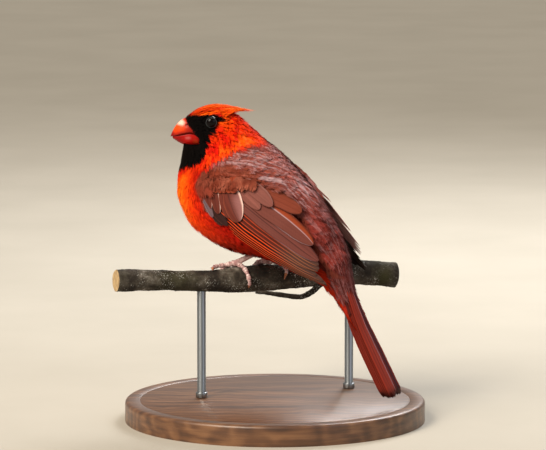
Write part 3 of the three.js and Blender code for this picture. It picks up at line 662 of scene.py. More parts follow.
def skin_map(s, angle):
    """A place of the body on its flat map, which takes in a little more than all its sections."""
    return np.stack([angle / (2 * np.pi), s / MAP_SECTIONS * 0.98 + 0.01], -1)


def inside(points, polygon):
    """Distance to a polygon's edge, positive inside it."""
    x, y = points[..., 0], points[..., 1]
    best = np.full(x.shape, 1e9)
    odd = np.zeros(x.shape, bool)
    for (x0, y0), (x1, y1) in zip(polygon, np.roll(polygon, -1, axis=0)):
        dx, dy = x1 - x0, y1 - y0
        t = np.clip(((x - x0) * dx + (y - y0) * dy) / (dx**2 + dy**2), 0, 1)
        best = np.minimum(best, np.hypot(x - x0 - t * dx, y - y0 - t * dy))
        crosses = (y0 > y) != (y1 > y)
        odd ^= crosses & (x < x0 + (y - y0) * dx / (dy or 1e-9))
    return np.where(odd, best, -best)


def streaks(s, angle, long, wide, seed):
    """Streaks that run along the coat, from -1 to 1, with their length and width in millimetres."""
    chart = np.stack([s * 11 / long, angle * 20 / wide, np.zeros_like(s)], -1)
    return lumps(chart, 1.0, seed)


def markings(s, angle):
    """The plumage's colour at a place, the colour of its feathers' fringes, and how far the
    place belongs to the back."""
    straight = body_at(s, angle)
    turn = from_back(angle)
    patch = lumps(straight, 6.0, 21) * 0.5 + lumps(straight, 2.2, 22) * 0.5
    wave = streaks(s, angle, 9.0, 1.6, 23)
    clouds = ease(patch, -0.5, 0.6)
    line = np.interp(turn, *NECK_LINE)

    crown = blend("#d01a04", "#fc6406", ease(patch + 0.7 * wave, -0.6, 0.8))
    cheek = blend("#cc1202", "#f84004", ease(patch + 0.5 * wave, -0.6, 0.7))
    head = blend(cheek, crown, ease(turn, 60, 30) * ease(s, 4.4, 3.4))
    band = ease(line - s, 1.15, 0.4) * ease(line - s, -0.2, 0.2) * ease(turn, 100, 70) * ease(turn, 6, 30)
    head = blend(head, "#fc600a", band * ease(wave + patch, -0.9, 0.6) * 0.8)
    # The breast turns orange towards its front: partly the plumage's own orange, partly painted light on its
    # lit edge.
    breast = blend("#b41404", "#f84004", ease(turn, 104, 136))
    breast = blend(breast, "#ff6c0a", ease(turn, 118, 150) * ease(s, 7.8, 5.2))
    # Darker red down the lower breast and belly: partly painted shade, partly the plumage's own deeper red.
    breast = blend(breast, "#a00c04", ease(s, 6.6, 9.0) * 0.7)
    breast = blend(breast, "#7a0a04", ease(patch + 0.6 * wave, 0.2, 0.9) * 0.4)
    under = blend(breast, "#b4280c", ease(s, 10.5, 12.5))
    mantle = blend("#682a24", "#8e463a", clouds)
    # Painted light: paler red along the top of the back.
    mantle = blend(mantle, "#b4584c", ease(turn, 36, 10) * 0.5)
    rump = blend("#42120e", "#88322a", clouds)
    back = blend(mantle, rump, ease(s, 8.5, 10.5))
    back = blend(back, "#582622", ease(s, 11.6, 12.8) * 0.7)

    side = ease(turn, 96, 84)
    colour = blend(head, breast, ease(s + ease(turn, 100, 125), 4.2, 5.0) * ease(turn, 80, 100))
    colour = blend(colour, under, ease(s, 4.8, 6.0) * (1 - side))
    upper = ease(s - line + 0.12 * patch, -0.12, 0.3) * side
    colour = blend(colour, back, upper)
    a, q, _ = over_wing(body_surface(s, angle))
    shoulder = ease(inside(np.stack([a, q], -1), SHOULDER), -1.5, 1.5) * (s > 5)
    colour = blend(colour, blend("#6e2c1c", "#945040", clouds), shoulder)
    look = np.stack([straight[..., 0], straight[..., 2] - 0.139 * np.abs(straight[..., 1])], -1)
    black = ease(inside(look, MASK) + 0.35 * patch, -0.35, 0.35) * (s < 6)
    colour = blend(colour, "#020101", black)

    pale = blend("#c8aeb4", "#a8787a", ease(s, 8.5, 10.5))
    fringe = blend(colour * 1.3 + 0.01, pale, upper * (1 - shoulder))
    fringe = blend(fringe, "#d08a6c", ease(turn, 70, 20) * ease(s, 4.0, 5.2) * (1 - upper) * 0.5)
    return colour, blend(fringe, "#0a0706", black), upper


def feather_material(name, roughness, sheen, vane=False):
    """Feather keratin: matt, with a faint warm sheen, its barbs lighter and darker by turns.
    They are drawn coarser than real ones, so that they show: 0.8 mm, and 0.4 mm on a vane."""
    material = new_material(
        name, Specular_IOR_Level=0.06, Sheen_Weight=sheen, Sheen_Roughness=0.5,
        Sheen_Tint=linear("#ffb090"),
    )
    if vane:
        along = add(material, "Attribute", {"attribute_name": "barb"}, out="Fac")
        sockets = {"W": along, "Scale": BARBS_PER_MM, "Detail": 3.0}
        fine = add(material, "TexNoise", {"noise_dimensions": "1D"}, sockets)
    else:
        place = add(material, "TexCoord", out="Object")
        fine = add(material, "TexNoise", sockets={"Vector": place, "Scale": every(0.769), "Detail": 3.0})
    paint(material, fine, 0.3)
    matt = {"Value": fine, "To Min": roughness - 0.12, "To Max": roughness + 0.12}
    add(material, "MapRange", sockets=matt, into="Roughness")
    add(material, "Bump", sockets={"Height": fine, "Strength": 0.3, "Distance": 0.0002}, into="Normal")
    return material


s, angle = np.meshgrid(
    np.linspace(0, len(BODY) - 1, SKIN_ROWS),
    np.linspace(0, 2 * np.pi, SKIN_COLUMNS, endpoint=False), indexing="ij",
)
depth = coat_depth(s, angle)
p = body_surface(s, angle, -depth)
a, q, height = over_wing(p)
sunk = np.clip(height + UNDER_WING, 0, MOST_SUNK) * (wing_inside(a, q) > -2.0) * (s > 5)
p[..., 1] -= np.sign(p[..., 1]) * sunk
# The face is pinched in behind the bill's base, so that the bill hides it.
straight = body_at(s, angle, -depth)
pinch = 3.5 + 3 * np.clip(-inside(straight[..., [0, 2]], BILL_BASE), 0, 9)
straight[..., 1] = np.clip(straight[..., 1], -pinch, pinch)
p = np.where((s < NECK_TOP)[..., None], head_turned(straight, neck_twist(s)), p)
# The skin takes the plumage's colours darkened to nine tenths, as painted shade in the gaps between the
# feathers.
faces, points, tones, places = closed(posed(p), markings(s, angle)[0] * 0.9, skin_map(s, angle))
places[-2:] = [0.5, 0.005], [0.5, 0.99]

# Skin and down: dull and soft, in the plumage's own colours a little darker.
down = feather_material("Skin and down under the feathers", 0.85, 0.03)
skin = new_piece("bird_skin", down, [(faces, points, tones, places)])
settle(skin, "body_feathers", "head", "neck", "torso")


# Bill: a stout red-orange cone in two halves, smooth horn over bone, with a curved ridge,
# a sharp cutting edge that kinks at the corner of the mouth, and a small nostril each side.

# From the base to the tip, in mm: x, the ridge's z, the mouth's z, the keel's z, half the width.
BILL = [
    [29.0, 86.6, 76.4, 70.2, 6.4],
    [32.0, 87.0, 78.0, 70.2, 6.4],
    [35.2, 86.9, 78.5, 70.3, 6.1],
    [38.4, 86.0, 78.0, 71.0, 5.3],
    [41.2, 83.9, 77.4, 72.5, 4.3],
    [43.5, 81.2, 76.9, 74.2, 3.0],
    [45.2, 78.4, 76.6, 75.6, 1.5],
]
BILL_TIP, NOSTRIL = (46.1, 76.2), (36.4, 83.4)
MOUTH_GAP, LOWER_WIDTH = 0.06, 0.94


def on_head(p):
    """From the straight bird's head to the model's frame."""
    return posed(head_turned(p, HEAD_TURN))


def bill_colours(p, upper):
    """Orange horn, with a pale patch at the base of the ridge that is partly pale horn and partly painted
    highlight, a pink painted highlight on the lower half,
    and painted shade: darker red towards the mouth and the face, in the nostril and along the cutting edges.
    """
    x, z = p[..., 0], p[..., 2]
    edge = np.interp(x, [r[0] for r in BILL], [r[2] for r in BILL])
    cloud = lumps(p, 2.6, 41) * 0.6 + lumps(p, 1.1, 42) * 0.4

    def spot(at_x, at_z, wide, high):
        return ease(np.hypot((x - at_x) / wide, (z - at_z) / high) + cloudy * cloud, 1.1, 0.3)

    if upper:
        cloudy = 0.2
        # Painted shade: darker red towards the mouth and the face, in the nostril and along the cutting
        # edge; the pale patch at the base of the ridge is partly painted highlight.
        tone = blend("#8a0a03", "#ee4604", ease(z - edge + cloud, 0.3, 4.6))
        tone = blend(tone, "#8c0e04", ease(x - 0.35 * (z - edge), 38.0, 33.5) * 0.85)
        tone = blend(tone, "#ffd2be", spot(39.8, 84.6, 3.0, 2.1) * 0.85)
        nostril_shade = ease(np.hypot(x - NOSTRIL[0], z - NOSTRIL[1]), 0.85, 0.35)
        tone = blend(tone, "#4a0e08", nostril_shade * 0.8)
        tone = blend(tone, "#6c0c04", ease(z - edge, 0.6, 0.1) * 0.7)
    else:
        cloudy = 0.3
        tone = blend("#8a0402", "#b00a03", ease(x + cloud, 43, 36))
        # The pink patch is painted highlight; the darker red along the cutting edge is painted shade.
        tone = blend(tone, "#c4605e", spot(35.8, 75.9, 2.3, 1.3) * 0.8)
        tone = blend(tone, "#b83c18", spot(31.8, 73.2, 2.0, 2.2) * 0.7)
        tone = blend(tone, "#5e0806", ease(edge - z, 0.7, 0.1) * 0.7)
    return blend(tone, tone * 0.6, ease(x, 43.5, 46) * 0.5)


def bill_half(upper):
    """One half of the bill as rings from its base to its tip."""
    row = smooth(BILL, np.linspace(0, len(BILL) - (1.0 if upper else 1.25), 70))
    cut = row[:, 2] + (MOUTH_GAP if upper else -MOUTH_GAP)
    far = row[:, 1] if upper else row[:, 3]
    outer, inner = np.linspace(0, np.pi, 33), np.linspace(np.pi, 0, 9)[1:-1]
    rise = np.append(np.sin(outer) ** 0.8, 0.16 * np.sin(inner))
    y = row[:, 4, None] * np.cos(np.append(outer, inner)) * (1.0 if upper else LOWER_WIDTH)
    z = cut[:, None] + (far - cut)[:, None] * rise
    rings = np.stack([np.broadcast_to(row[:, :1], y.shape), y, z], -1)
    if upper:
        dent = np.exp(-((rings[..., 0] - NOSTRIL[0]) ** 2 + (z - NOSTRIL[1]) ** 2) / 0.35)
        rings[..., 1] *= 1 - 0.14 * dent
        to_tip = np.array([BILL_TIP[0], 0, BILL_TIP[1]]) - rings[-1]
        rings = np.concatenate([rings, [rings[-1] + to_tip * share for share in (0.45, 0.8, 0.97)]])
    return rings


# Bill horn: smooth and half-glossy, letting a little light in, with soft bands of growth.
horn = new_material(
    "Bill horn", Roughness=0.42, Specular_IOR_Level=0.18, Subsurface_Weight=0.08, Subsurface_Scale=0.001
)
place = add(horn, "TexCoord", out="Object")
growth = add(horn, "TexNoise", sockets={"Vector": place, "Scale": every(2.38), "Detail": 4.0})
paint(horn, growth, 0.14)
add(horn, "Bump", sockets={"Height": growth, "Strength": 0.12, "Distance": 0.0003}, into="Normal")
for upper, name in ((True, "upper"), (False, "lower")):
    rings = bill_half(upper)
    piece = new_piece("bill_horn_" + name, horn, [closed(on_head(rings), bill_colours(rings, upper))])
    if not upper:
        piece.data.flip_normals()
    settle(piece, "bill_horn", "bill_" + name)


# Eyes: dark brown, almost black glass balls as set in a mounted bird, polished smooth, each
# in a ring of bare charcoal lid skin with fine folds.
EYE_X, EYE_Y, EYE_Z, EYE_RADIUS, EYE_SINK = 21.9, 11.2, 85.2, 3.6, 1.7
LID_OUT, LID_LONG, LID_HIGH, LID_THICK = 2.15, 2.9, 2.8, 0.22
LID_RINGS, LID_SIDES = 72, 14

# Eye glass: clear and polished, so that it shows small sharp lights on brown-black.
glass = grained(
    "Eye glass, dark brown", 1.11, 3.0, "#040202", "#0c0504", Roughness=0.05, Specular_IOR_Level=0.14
)
# Lid skin: dry and dull, charcoal grey, with its folds as 0.9 mm bumps.
lid_skin = grained(
    "Lid skin, charcoal", 0.909, 3.0, "#101213", "#2c3436", relief=(0.5, 0.0002), Roughness=0.6
)

for side, name in ((1, "left"), (-1, "right")):
    centre = np.array([EYE_X, side * (EYE_Y - EYE_SINK), EYE_Z])
    bpy.ops.mesh.primitive_uv_sphere_add(
        segments=64, ring_count=32, radius=EYE_RADIUS / 1000, location=Vector(on_head(centre) / 1000)
    )
    ball = bpy.context.object
    ball.name = "eye_glass_" + name
    bpy.ops.object.shade_smooth()
    ball.data.materials.append(glass)
    settle(ball, "eye_glass", "eye_" + name)
    outward = np.array([0.0, side, 0.0])
    turn = np.linspace(0, 2 * np.pi, LID_RINGS, endpoint=False)
    long = LID_LONG * np.cos(turn) * (1 + 0.03 * np.cos(2 * turn))
    rim = np.stack([long, 0 * turn, LID_HIGH * np.sin(turn)], -1)[:, None]
    around = np.linspace(0, 2 * np.pi, LID_SIDES, endpoint=False)[:, None]
    fold = rim / 3.0 * np.cos(around) + outward * np.sin(around)
    rings = centre + outward * LID_OUT + rim + fold * (LID_THICK + 0.02 * np.sin(9 * turn))[:, None, None]
    ring_faces = grid_faces(LID_RINGS + 1, LID_SIDES) % (LID_RINGS * LID_SIDES)
    piece = new_piece("eyelid_" + name, lid_skin, [[[ring_faces], on_head(rings).reshape(-1, 3)]])
    if side > 0:
        piece.data.flip_normals()
    settle(piece, "eye_glass")


# Body feathers: soft contour feathers rooted in the skin, each a fan of fine barbs on its
# shaft, in overlapping rows from the bill to the tail. They are tiny on the face, broad
# and loose on the breast and belly, and edged with lilac grey on the mantle.

# By section, in mm: how far apart the feathers root, and how long they are.
HEAD_GAP = [[0, 1, 3, 5], [0.6, 0.68, 0.8, 1.1]]
BODY_GAP = [[5, 7, 11, 14], [1.2, 1.5, 1.6, 1.5]]
HEAD_LENGTH = [[0, 1, 3, 4, 5], [2.0, 2.6, 3.8, 5.2, 7.0]]
BODY_LENGTH = [[5, 6.5, 9, 11.5, 12.6, 14], [8.0, 10.5, 12.0, 12.0, 10.5, 13.0]]
LOOK_ROUND = [(i, j, k) for i in (-1, 0, 1) for j in (-1, 0, 1) for k in (-1, 0, 1)]
GRID_S, GRID_ANGLE, CELL = 220, 161, 3.0
EYE_BARE, MAP_FEATHER = 3.2, 0.003


def barbs(pairs, segments, slim, seed):
    """One feather as barbs fanning from its shaft, along X with length one: points, faces,
    the barb of each point, and how far along its barb it lies."""
    draw = np.random.default_rng(seed)
    ends = [(math.radians(a), side) for a in np.linspace(48, 172, pairs) for side in (-1, 1)]
    ends.append((math.pi, 1))
    points, faces, strand, reach = [], [], [], []
    t = np.linspace(0, 1, segments + 1)[:, None]
    wide = 1.3 * slim / pairs * (1 - 0.55 * t**2)
    for k, (turn, side) in enumerate(ends):
        turn += draw.normal(0, 0.04)
        end = np.array([0.5 - 0.5 * math.cos(turn), side * slim * math.sin(turn)])
        end *= 1 + draw.normal(0, 0.05)
        start = np.array([max(0.02, end[0] - 0.42 - 0.1 * draw.random()), 0.0])
        knee = np.array([start[0] + 0.5 * (end[0] - start[0]), 0.72 * end[1]])
        line = (1 - t) ** 2 * start + 2 * t * (1 - t) * knee + t**2 * end
        along = unit(np.gradient(line, axis=0))
        across = np.stack([-along[:, 1], along[:, 0]], -1) * wide
        rise = draw.normal(0, 0.009) + 0.02 * t[:, 0] * draw.normal(0, 1)
        rise = rise - 0.144 * line[:, 1] ** 2 / slim
        left = np.column_stack([line + across, rise])[:-1]
        right = np.column_stack([line - across, rise])[:-1]
        first = len(points)
        points += [v for pair in zip(left, right) for v in pair] + [np.append(line[-1], rise[-1])]
        strand += [k] * (2 * segments + 1)
        reach += [*np.repeat(t[:-1, 0], 2), 1.0]
        for a in range(first, first + 2 * segments - 2, 2):
            faces += [(a, a + 1, a + 3), (a, a + 3, a + 2)]
        a = first + 2 * segments - 2
        faces.append((a, a + 1, a + 2))
    return np.array(points), np.array(faces), np.array(strand), np.array(reach)


def flow_frame(s, angle):
    """Unit directions along the coat and across it, and how section and angle answer to them."""
    d = 0.02
    at = body_surface(s, angle)
    ds = (body_surface(s + d, angle) - at) / d
    da = (body_surface(s, angle + d) - at) / d
    along, normal = unit(ds), unit(np.cross(ds, da))
    ss, sa, aa = (ds * ds).sum(-1), (ds * da).sum(-1), (da * da).sum(-1)
    det = ss * aa - sa**2

    def answer(v):
        u, w = (ds * v).sum(-1), (da * v).sum(-1)
        return np.stack([(aa * u - sa * w) / det, (ss * w - sa * u) / det], -1)

    return answer(along), answer(np.cross(normal, along))


def bare(s, angle):
    """True where no feather grows: under the wings, at the bill and in the eye."""
    straight = body_at(s, angle)
    a, q, _ = over_wing(body_surface(s, angle))
    under = (wing_inside(a, q) > 1.6) & (s > 5)
    bill = inside(straight[..., [0, 2]], BILL_BASE) > -0.35
    eye = np.hypot(straight[..., 0] - EYE_X, straight[..., 2] - EYE_Z) < EYE_BARE
    return under | bill | (eye & (np.abs(straight[..., 1]) > 5))


def scatter(tries, spacing, seed, first, last):
    """Feather roots spread over the body, no closer than the spacing, seeded."""
    draw = np.random.default_rng(seed)
    s, angle = np.meshgrid(
        np.linspace(first, last, GRID_S), np.linspace(0, 2 * np.pi, GRID_ANGLE), indexing="ij"
    )
    grid = body_surface(s, angle)
    corner = grid[:-1, :-1]
    area = np.linalg.norm(np.cross(grid[1:, :-1] - corner, grid[:-1, 1:] - corner), axis=-1)
    weight = (area / np.interp(s[:-1, :-1], *spacing) ** 2).ravel()
    cell = draw.choice(len(weight), tries, p=weight / weight.sum())
    r, c = np.divmod(cell, GRID_ANGLE - 1)
    s = first + (r + draw.random(tries)) * (last - first) / (GRID_S - 1)
    angle = (c + draw.random(tries)) * 2 * np.pi / (GRID_ANGLE - 1)
    keep = ~bare(s, angle)
    s, angle = s[keep], angle[keep]
    taken, kept = {}, []
    roots = zip(body_surface(s, angle).tolist(), np.interp(s, *spacing).tolist())
    for number, (root, gap) in enumerate(roots):
        x, y, z = [int(v // CELL) for v in root]
        near_by = (other for i, j, k in LOOK_ROUND for other in taken.get((x + i, y + j, z + k), ()))
        if all(math.dist(root, other) >= gap for other in near_by):
            taken.setdefault((x, y, z), []).append(root)
            kept.append(number)
    return s[kept], angle[kept]


def wing_at(side, a, q, off):
    """A point over the folded wing: along it, up the side, above its outer face."""
    angle = q / WRAP
    p = WRIST + ALONG * a[..., None]
    p = p + DORSAL * ((np.interp(a, *BACK_RADIUS) + off) * np.sin(angle))[..., None]
    p[..., 1] = side * (np.interp(a, *SIDE_RADIUS) + off) * np.cos(angle)
    return p


def feather_map(shape, at, widen=1):
    """A feather's points on its piece's flat map, close round its own place."""
    return at + np.stack([shape[:, 1] * widen, shape[:, 0] - 0.5], -1) * MAP_FEATHER


def coat(name, s, angle, length, shapes, lift, seed, slot_name, swirl=0.0):
    """One piece of the coat: a feather at every root, laid along the body and over the wing."""
    draw = np.random.default_rng(seed)
    along, across = flow_frame(s, angle)
    middle = along * (0.55 * length)[:, None]
    colour, fringe, upper = markings(s + middle[:, 0], angle + middle[:, 1])
    colour = colour * (1 + draw.normal(0, 0.06, len(s)))[:, None]
    pick = draw.integers(0, len(shapes), len(s))
    wrapped = (angle + np.pi) % (2 * np.pi) - np.pi
    swept = -np.sign(wrapped * across[:, 1]) * swirl * ease(s, 9.4, 7.4) * ease(np.abs(wrapped), 0.1, 0.6)
    strength = 0.25 + upper * (0.3 - 0.2 * ease(s, 8.5, 10.5) - 0.14 * ease(s, 6.4, 5.2))
    parts = []
    for kind, (shape, triangles, strand, reach) in enumerate(shapes):
        chosen = pick == kind
        count = int(chosen.sum())
        column = (count, 1)
        here_s, here_angle, size, rise, back, sweep, strong = [
            v[chosen][:, None] for v in (s, angle, length, lift, upper, swept, strength)
        ]
        onward = shape[:, 0]

        # The feather lies on the body: its place along it and round it, and its height.
        turn = draw.normal(0, 0.13, column) + sweep
        x = onward * size
        y = shape[:, 1] * size * (1 + draw.normal(0, 0.1, column))
        fx, fy = x * np.cos(turn) - y * np.sin(turn), x * np.sin(turn) + y * np.cos(turn)
        here = fx[..., None] * along[chosen][:, None] + fy[..., None] * across[chosen][:, None]
        ss, aa = here_s + here[..., 0], here_angle + here[..., 1]
        depth = coat_depth(here_s, here_angle)
        proud = (draw.random(column) < 0.16) * back
        tip = rise + (draw.normal(0, 0.16, column) + 0.3 * proud) * depth / 3.5
        high = -depth * 0.95 + (depth * 0.95 + tip) * onward.clip(0) ** 0.8
        high = high + shape[:, 2] * size + draw.normal(0, 0.06, column) * y
        p = body_surface(ss, aa, high)

        # Where it meets the wing's upper edge it is raised over the wing's own feathers.
        a, q, height = over_wing(p)
        within = wing_inside(a, q)
        above_edge = q - np.interp(a, *WING_LOW)
        want = 2.2 * ease(a, 40, 28) - 1.95 - 0.8 * (p[..., 1] < 0) + 0.5 * onward
        short = np.clip(want + draw.random(column) * 0.4 - height, 0, None)
        share = np.maximum(ease(above_edge, 4.0, 9.0) * ease(a, 72, 42), ease(a, 7, 3))
        raised = short * ease(within, -1.2, 0.6) * share * ease(short, 5.0, 3.0) * (ss > 5)
        moved = wing_at(np.sign(p[..., 1]), a, q, height + raised)
        p = np.where((raised > 0.01)[..., None], moved, p)

        # Its colour: streaks of the fringe's colour that run on from feather to feather.
        flow = np.abs((aa + np.pi) % (2 * np.pi) - np.pi) + 0.6 * swirl * np.minimum(ss, 8.6)
        drift = flow + 0.1 * streaks(ss, flow, 8.0, 6.0, 54)
        hair = streaks(ss, drift, 14.0, 0.5, 51) + 0.3 * streaks(ss, flow, 5.0, 0.35, 53)
        band = streaks(ss, drift, 9.0, 3.0, 52)
        share = ease(hair + 0.06 * band, 0.18, 0.46) * strong
        rim = ease(reach, 0.5, 0.9) * ease(onward, 0.3, 0.6) * (0.06 * back + 0.3 * proud)
        share = np.maximum(share, rim) * (1 - 0.8 * ease(within, -2.5, 0.5))
        strands = 1 + 0.16 * (draw.random((count, strand.max() + 1)) - 0.5)[:, strand]
        shadow = (0.78 + 0.22 * ease(onward, 0.1, 0.6)) * (1 - (0.15 + 0.2 * back) * ease(-hair, 0.25, 0.8))
        # Over the wing the feathers take the wing's brown; at the wing's bend this brown-dark also stands as
        # painted shade under the wing's edge.
        bend = ease(np.minimum(np.minimum(a + 2.5, 12 - q), above_edge - 0.5), 0.0, 2.0)
        bend = bend * ease(a, 20, 15) * (ss > 5)
        cover = np.maximum(0.7 * ease(within, -1, 1.5) * back, 0.9 * bend)
        tone = blend(blend(colour[chosen][:, None], "#743628", cover), fringe[chosen][:, None], share)
        tone = tone * (shadow * strands)[..., None]
        spot = feather_map(shape, skin_map(here_s, here_angle))
        faces = (triangles + np.arange(count)[:, None, None] * len(shape)).reshape(-1, 3)
        parts.append([[faces], posed(p).reshape(-1, 3), tone.reshape(-1, 3), spot.reshape(-1, 2)])
    settle(new_piece(name, contour, parts), slot_name)


# Contour feather: matt and soft, with hardly any shine.
contour = feather_material("Contour feather, soft barbs", 0.8, 0.03)
fine_shapes = [barbs(7, 3, 0.18, k) for k in range(6)]
body_shapes = [barbs(12, 4, 0.3, 20 + k) for k in range(8)]
loose_shapes = [barbs(12, 3, 0.36, 40 + k) for k in range(8)]
long_shapes = [barbs(9, 3, 0.2, 60 + k) for k in range(6)]

s, angle = scatter(30000, HEAD_GAP, 5, 0.05, 5.0)
length = np.interp(s, *HEAD_LENGTH) * np.random.default_rng(1).normal(1, 0.1, len(s))
root = body_at(s, angle)
from_eye = np.hypot(root[:, 0] - EYE_X, root[:, 2] - EYE_Z)
bed = 1.3 * ease(from_eye, 7.5, 4.2) * ease(root[:, 0], EYE_X + 2.5, EYE_X - 1.0) * (s < 5)
coat("coat_head", s, angle, length, fine_shapes, bed, 11, "head_feathers")

s, angle = scatter(36000, BODY_GAP, 6, 4.9, 13.9)
length = np.interp(s, *BODY_LENGTH) * np.random.default_rng(2).normal(1, 0.08, len(s))
turn = from_back(angle)
for name, part, shapes, lift, seed, swirl in (
    ("coat_mantle", (turn < 92) & (s < 9.2), body_shapes, 0.0, 12, 0.6),
    ("coat_rump", (turn < 92) & (s >= 9.2) & (s < 12.6), body_shapes, 0.0, 13, 0.0),
    ("coat_breast", (turn >= 92) & (s < 7.6), loose_shapes, 0.1, 14, 0.0),
    ("coat_belly", (turn >= 92) & (s >= 7.6) & (s < 12.6), loose_shapes, 0.1, 15, 0.0),
    ("coat_tail_coverts", (s >= 12.6) & ((turn > 82) | (s < 12.75)), long_shapes, 0.2, 16, 0.0),
):
    inset = lift - 2.6 * vent(s[part], angle[part])
    coat(name, s[part], angle[part], length[part], shapes, inset, seed, "body_feathers", swirl)


# Crest: long narrow crown feathers, lying back over each other from the forehead and
# flying off the nape in a low point.
CROWN = [[3, 7, 12, 18, 24, 29.5, 33, 36], [83.5, 87.3, 90.2, 91.3, 91.2, 90.2, 88.9, 86.8]]
LEAVE, TIP_FALL, CLIMB, CREST_FEATHERS = 11.0, 0.2, 0.105, 230


def crown_height(x, y):
    return np.interp(x, *CROWN) - 0.052 * y**2


def crest_line(root, tip, t):
    """The shaft of a crest feather: it lies on those behind it, then runs free."""
    x, y = [root[k] + (tip[k] - root[k]) * t for k in (0, 1)]
    lying = crown_height(x, y) + 0.5 + CLIMB * (root[0] - x)
    free = crown_height(LEAVE, y) + 0.8 + CLIMB * (root[0] - LEAVE) - TIP_FALL * (LEAVE - x)
    share = ease(x, LEAVE + 3, LEAVE - 3)
    z = lying + (free - lying) * share - 1.8 * np.clip(1 - 4 * t, 0, 1) ** 2
    return np.stack([x, y, z], -1)


draw = np.random.default_rng(31)
crest_shapes = [barbs(7, 4, 0.085, 80 + k) for k in range(6)]
parts = []
for k in range(CREST_FEATHERS):
    u = draw.random()
    root = np.array([34.5 - 20 * u**1.1, draw.uniform(-1, 1) * (3.0 + 5.2 * u)])
    back = 9.0 + 9.0 * draw.random() * (1 - abs(root[1]) / 9) + 3.2 * u
    tip = np.array([max(root[0] - back, -4.4 + 1.5 * abs(root[1])), root[1] * (0.62 - 0.25 * u)])
    shape, triangles, strand, _ = crest_shapes[k % len(crest_shapes)]
    long = math.dist(tip, root)
    line = crest_line(root, tip, shape[:, 0])
    wide = shape[:, 1] * long * min(1.6, 16 / long)
    lift = shape[:, 2] * long + draw.normal(0, 0.12)
    p = line + np.stack([0 * wide, wide, lift - 0.1 * line[:, 1] * wide - 0.03 * wide**2], -1)
    tone = blend("#d01c04", "#fc5806", draw.random())
    tip_tone = blend(tone, "#ff8a18", 0.8 * draw.random() ** 1.5)
    tone = blend(tone, tip_tone, ease(shape[:, 0], 0.45, 1.0))
    strands = 1 + 0.22 * (draw.random(strand.max() + 1) - 0.5)[strand]
    shade = (0.7 + 0.3 * ease(shape[:, 0], 0.1, 0.6)) * strands
    spot = feather_map(shape, [0.02 * root[1] + 0.5, (40 - root[0]) / MAP_SECTIONS * 0.1], widen=3)
    parts.append([[triangles], on_head(p), tone * shade[:, None], spot])
settle(new_piece("crest_feathers", contour, parts), "head_feathers")


# Wings: each folded wing is a fan of closed vanes in tiers, every feather overlapping the
# one below it: dusky primaries with red edges, mauve-brown secondaries and tertials, then
# the greater, primary and median coverts over their roots.
WING_DEPTH, VANE, LAYER = -4.2, 0.5, 0.82
VANE_COLUMNS, SHAFT_AT = 25, 0.25
# Each row in mm: the root's a and q, the tip's a and q, and the width below and above the shaft.
FLIGHT = [
    [17, -5.2, 92, -5.2, 1.8, 2.6],
    [18, -3.8, 98.5, -3.3, 1.8, 2.6],
    [19, -2.3, 98, -1.8, 1.9, 2.7],
    [20, -0.8, 95.5, -0.3, 1.9, 2.8],
    [21, 0.7, 91, 1.2, 2.0, 2.9],
    [22, 2.3, 86.5, 2.8, 2.1, 3.1],
    [23, 4.0, 90.5, 4.6, 2.2, 3.4],
    [25, 5.8, 90.5, 6.5, 2.4, 3.8],
    [27, 7.8, 89, 8.8, 2.7, 4.2],
    [28, 10.2, 87.5, 11.4, 4.4, 5.2],
    [31, 14.2, 79.5, 17.6, 5.0, 5.6],
    [36, 19.6, 62.5, 26.6, 4.6, 4.6],
]


def between(first, last, count):
    """Rows of numbers from one to another."""
    return [list(np.array(first) + (np.array(last) - first) * i / (count - 1)) for i in range(count)]


PRIMARY_COVERTS = between([15, -4.6, 26, -6.0, 1.8, 2.4], [15, -2.6, 31, -3.2, 1.8, 2.4], 4)
ALULA = between([7, -2.8, 15, -5.6, 1.4, 1.6], [9, -2.2, 20, -4.8, 1.6, 1.8], 2)
BROAD_COVERT = [19.5, 11.2, 37.2, 2.6, 5.4, 5.2]
GREATER = between([4.5, 4.6, 16.0, -2.6, 2.8, 2.4], [14.5, 11.0, 29.5, 0.2, 3.4, 2.6], 3) + [BROAD_COVERT]
INNER_GREATER = [[23, 14.6, 43.6, 12.8, 2.8, 3.2], [25, 18.6, 48.6, 17.6, 3.2, 4.0]]
MEDIAN = between([2.0, 6.0, 8.0, 2.8, 2.2, 2.4], [18.5, 17.0, 25.5, 11.6, 3.0, 3.0], 8)
# Each look: body, the edge that shows, the hidden edge, the shaft and the shown edge's share
# of the width; the second tertial also has its inner web, its shaft's place and its own seed.
PRIMARY_LOOK = ("#1a0806", "#d04618", "#120606", "#1a0a08", 0.3)
SECONDARY_LOOK = ("#4a1c14", "#a03c22", "#240e0e", "#1c0c0a", 0.24)
FLIGHT_LOOKS = [PRIMARY_LOOK] * 6 + [SECONDARY_LOOK] * 3 + [
    ("#62342e", "#86707a", "#341a18", "#2c1412", 0.09),
    ("#6a3830", "#9a868e", "#4a2018", "#b49ca2", 0.09, "#86381e", -0.35, 11),
    ("#783828", "#4a1e16", "#4e2a20", "#662c1e", 0.12),
]
# Each tier of coverts: rows, the first row's number, height at root and tip, the step between
# neighbours, and the look.
TIERS = [
    (PRIMARY_COVERTS, 0, 2.2, 3.0, 0.5, ("#2e1a18", "#54302a", "#1c1010", "#140c0c", 0.2)),
    (ALULA, 0, 2.6, 3.5, 0.4, ("#625056", "#94848a", "#3a2a2c", "#241818", 0.2)),
    # The greater coverts' whitish-pink hidden edge, which shows on the broad covert, is a painted highlight.
    (GREATER, 0, 2.2, 3.4, 0.3, ("#5c2a22", "#7c3c2c", "#ffd8cc", "#3a1a16", 0.12)),
    (INNER_GREATER, 4, 1.5, 2.7, 0.3, ("#78463e", "#6c3e36", "#8a5e58", "#6a3e36", 0.12)),
    (MEDIAN, 0, 2.3, 3.4, 0.3, ("#80341f", "#904630", "#6a2a1c", "#4a1c12", 0.3)),
]


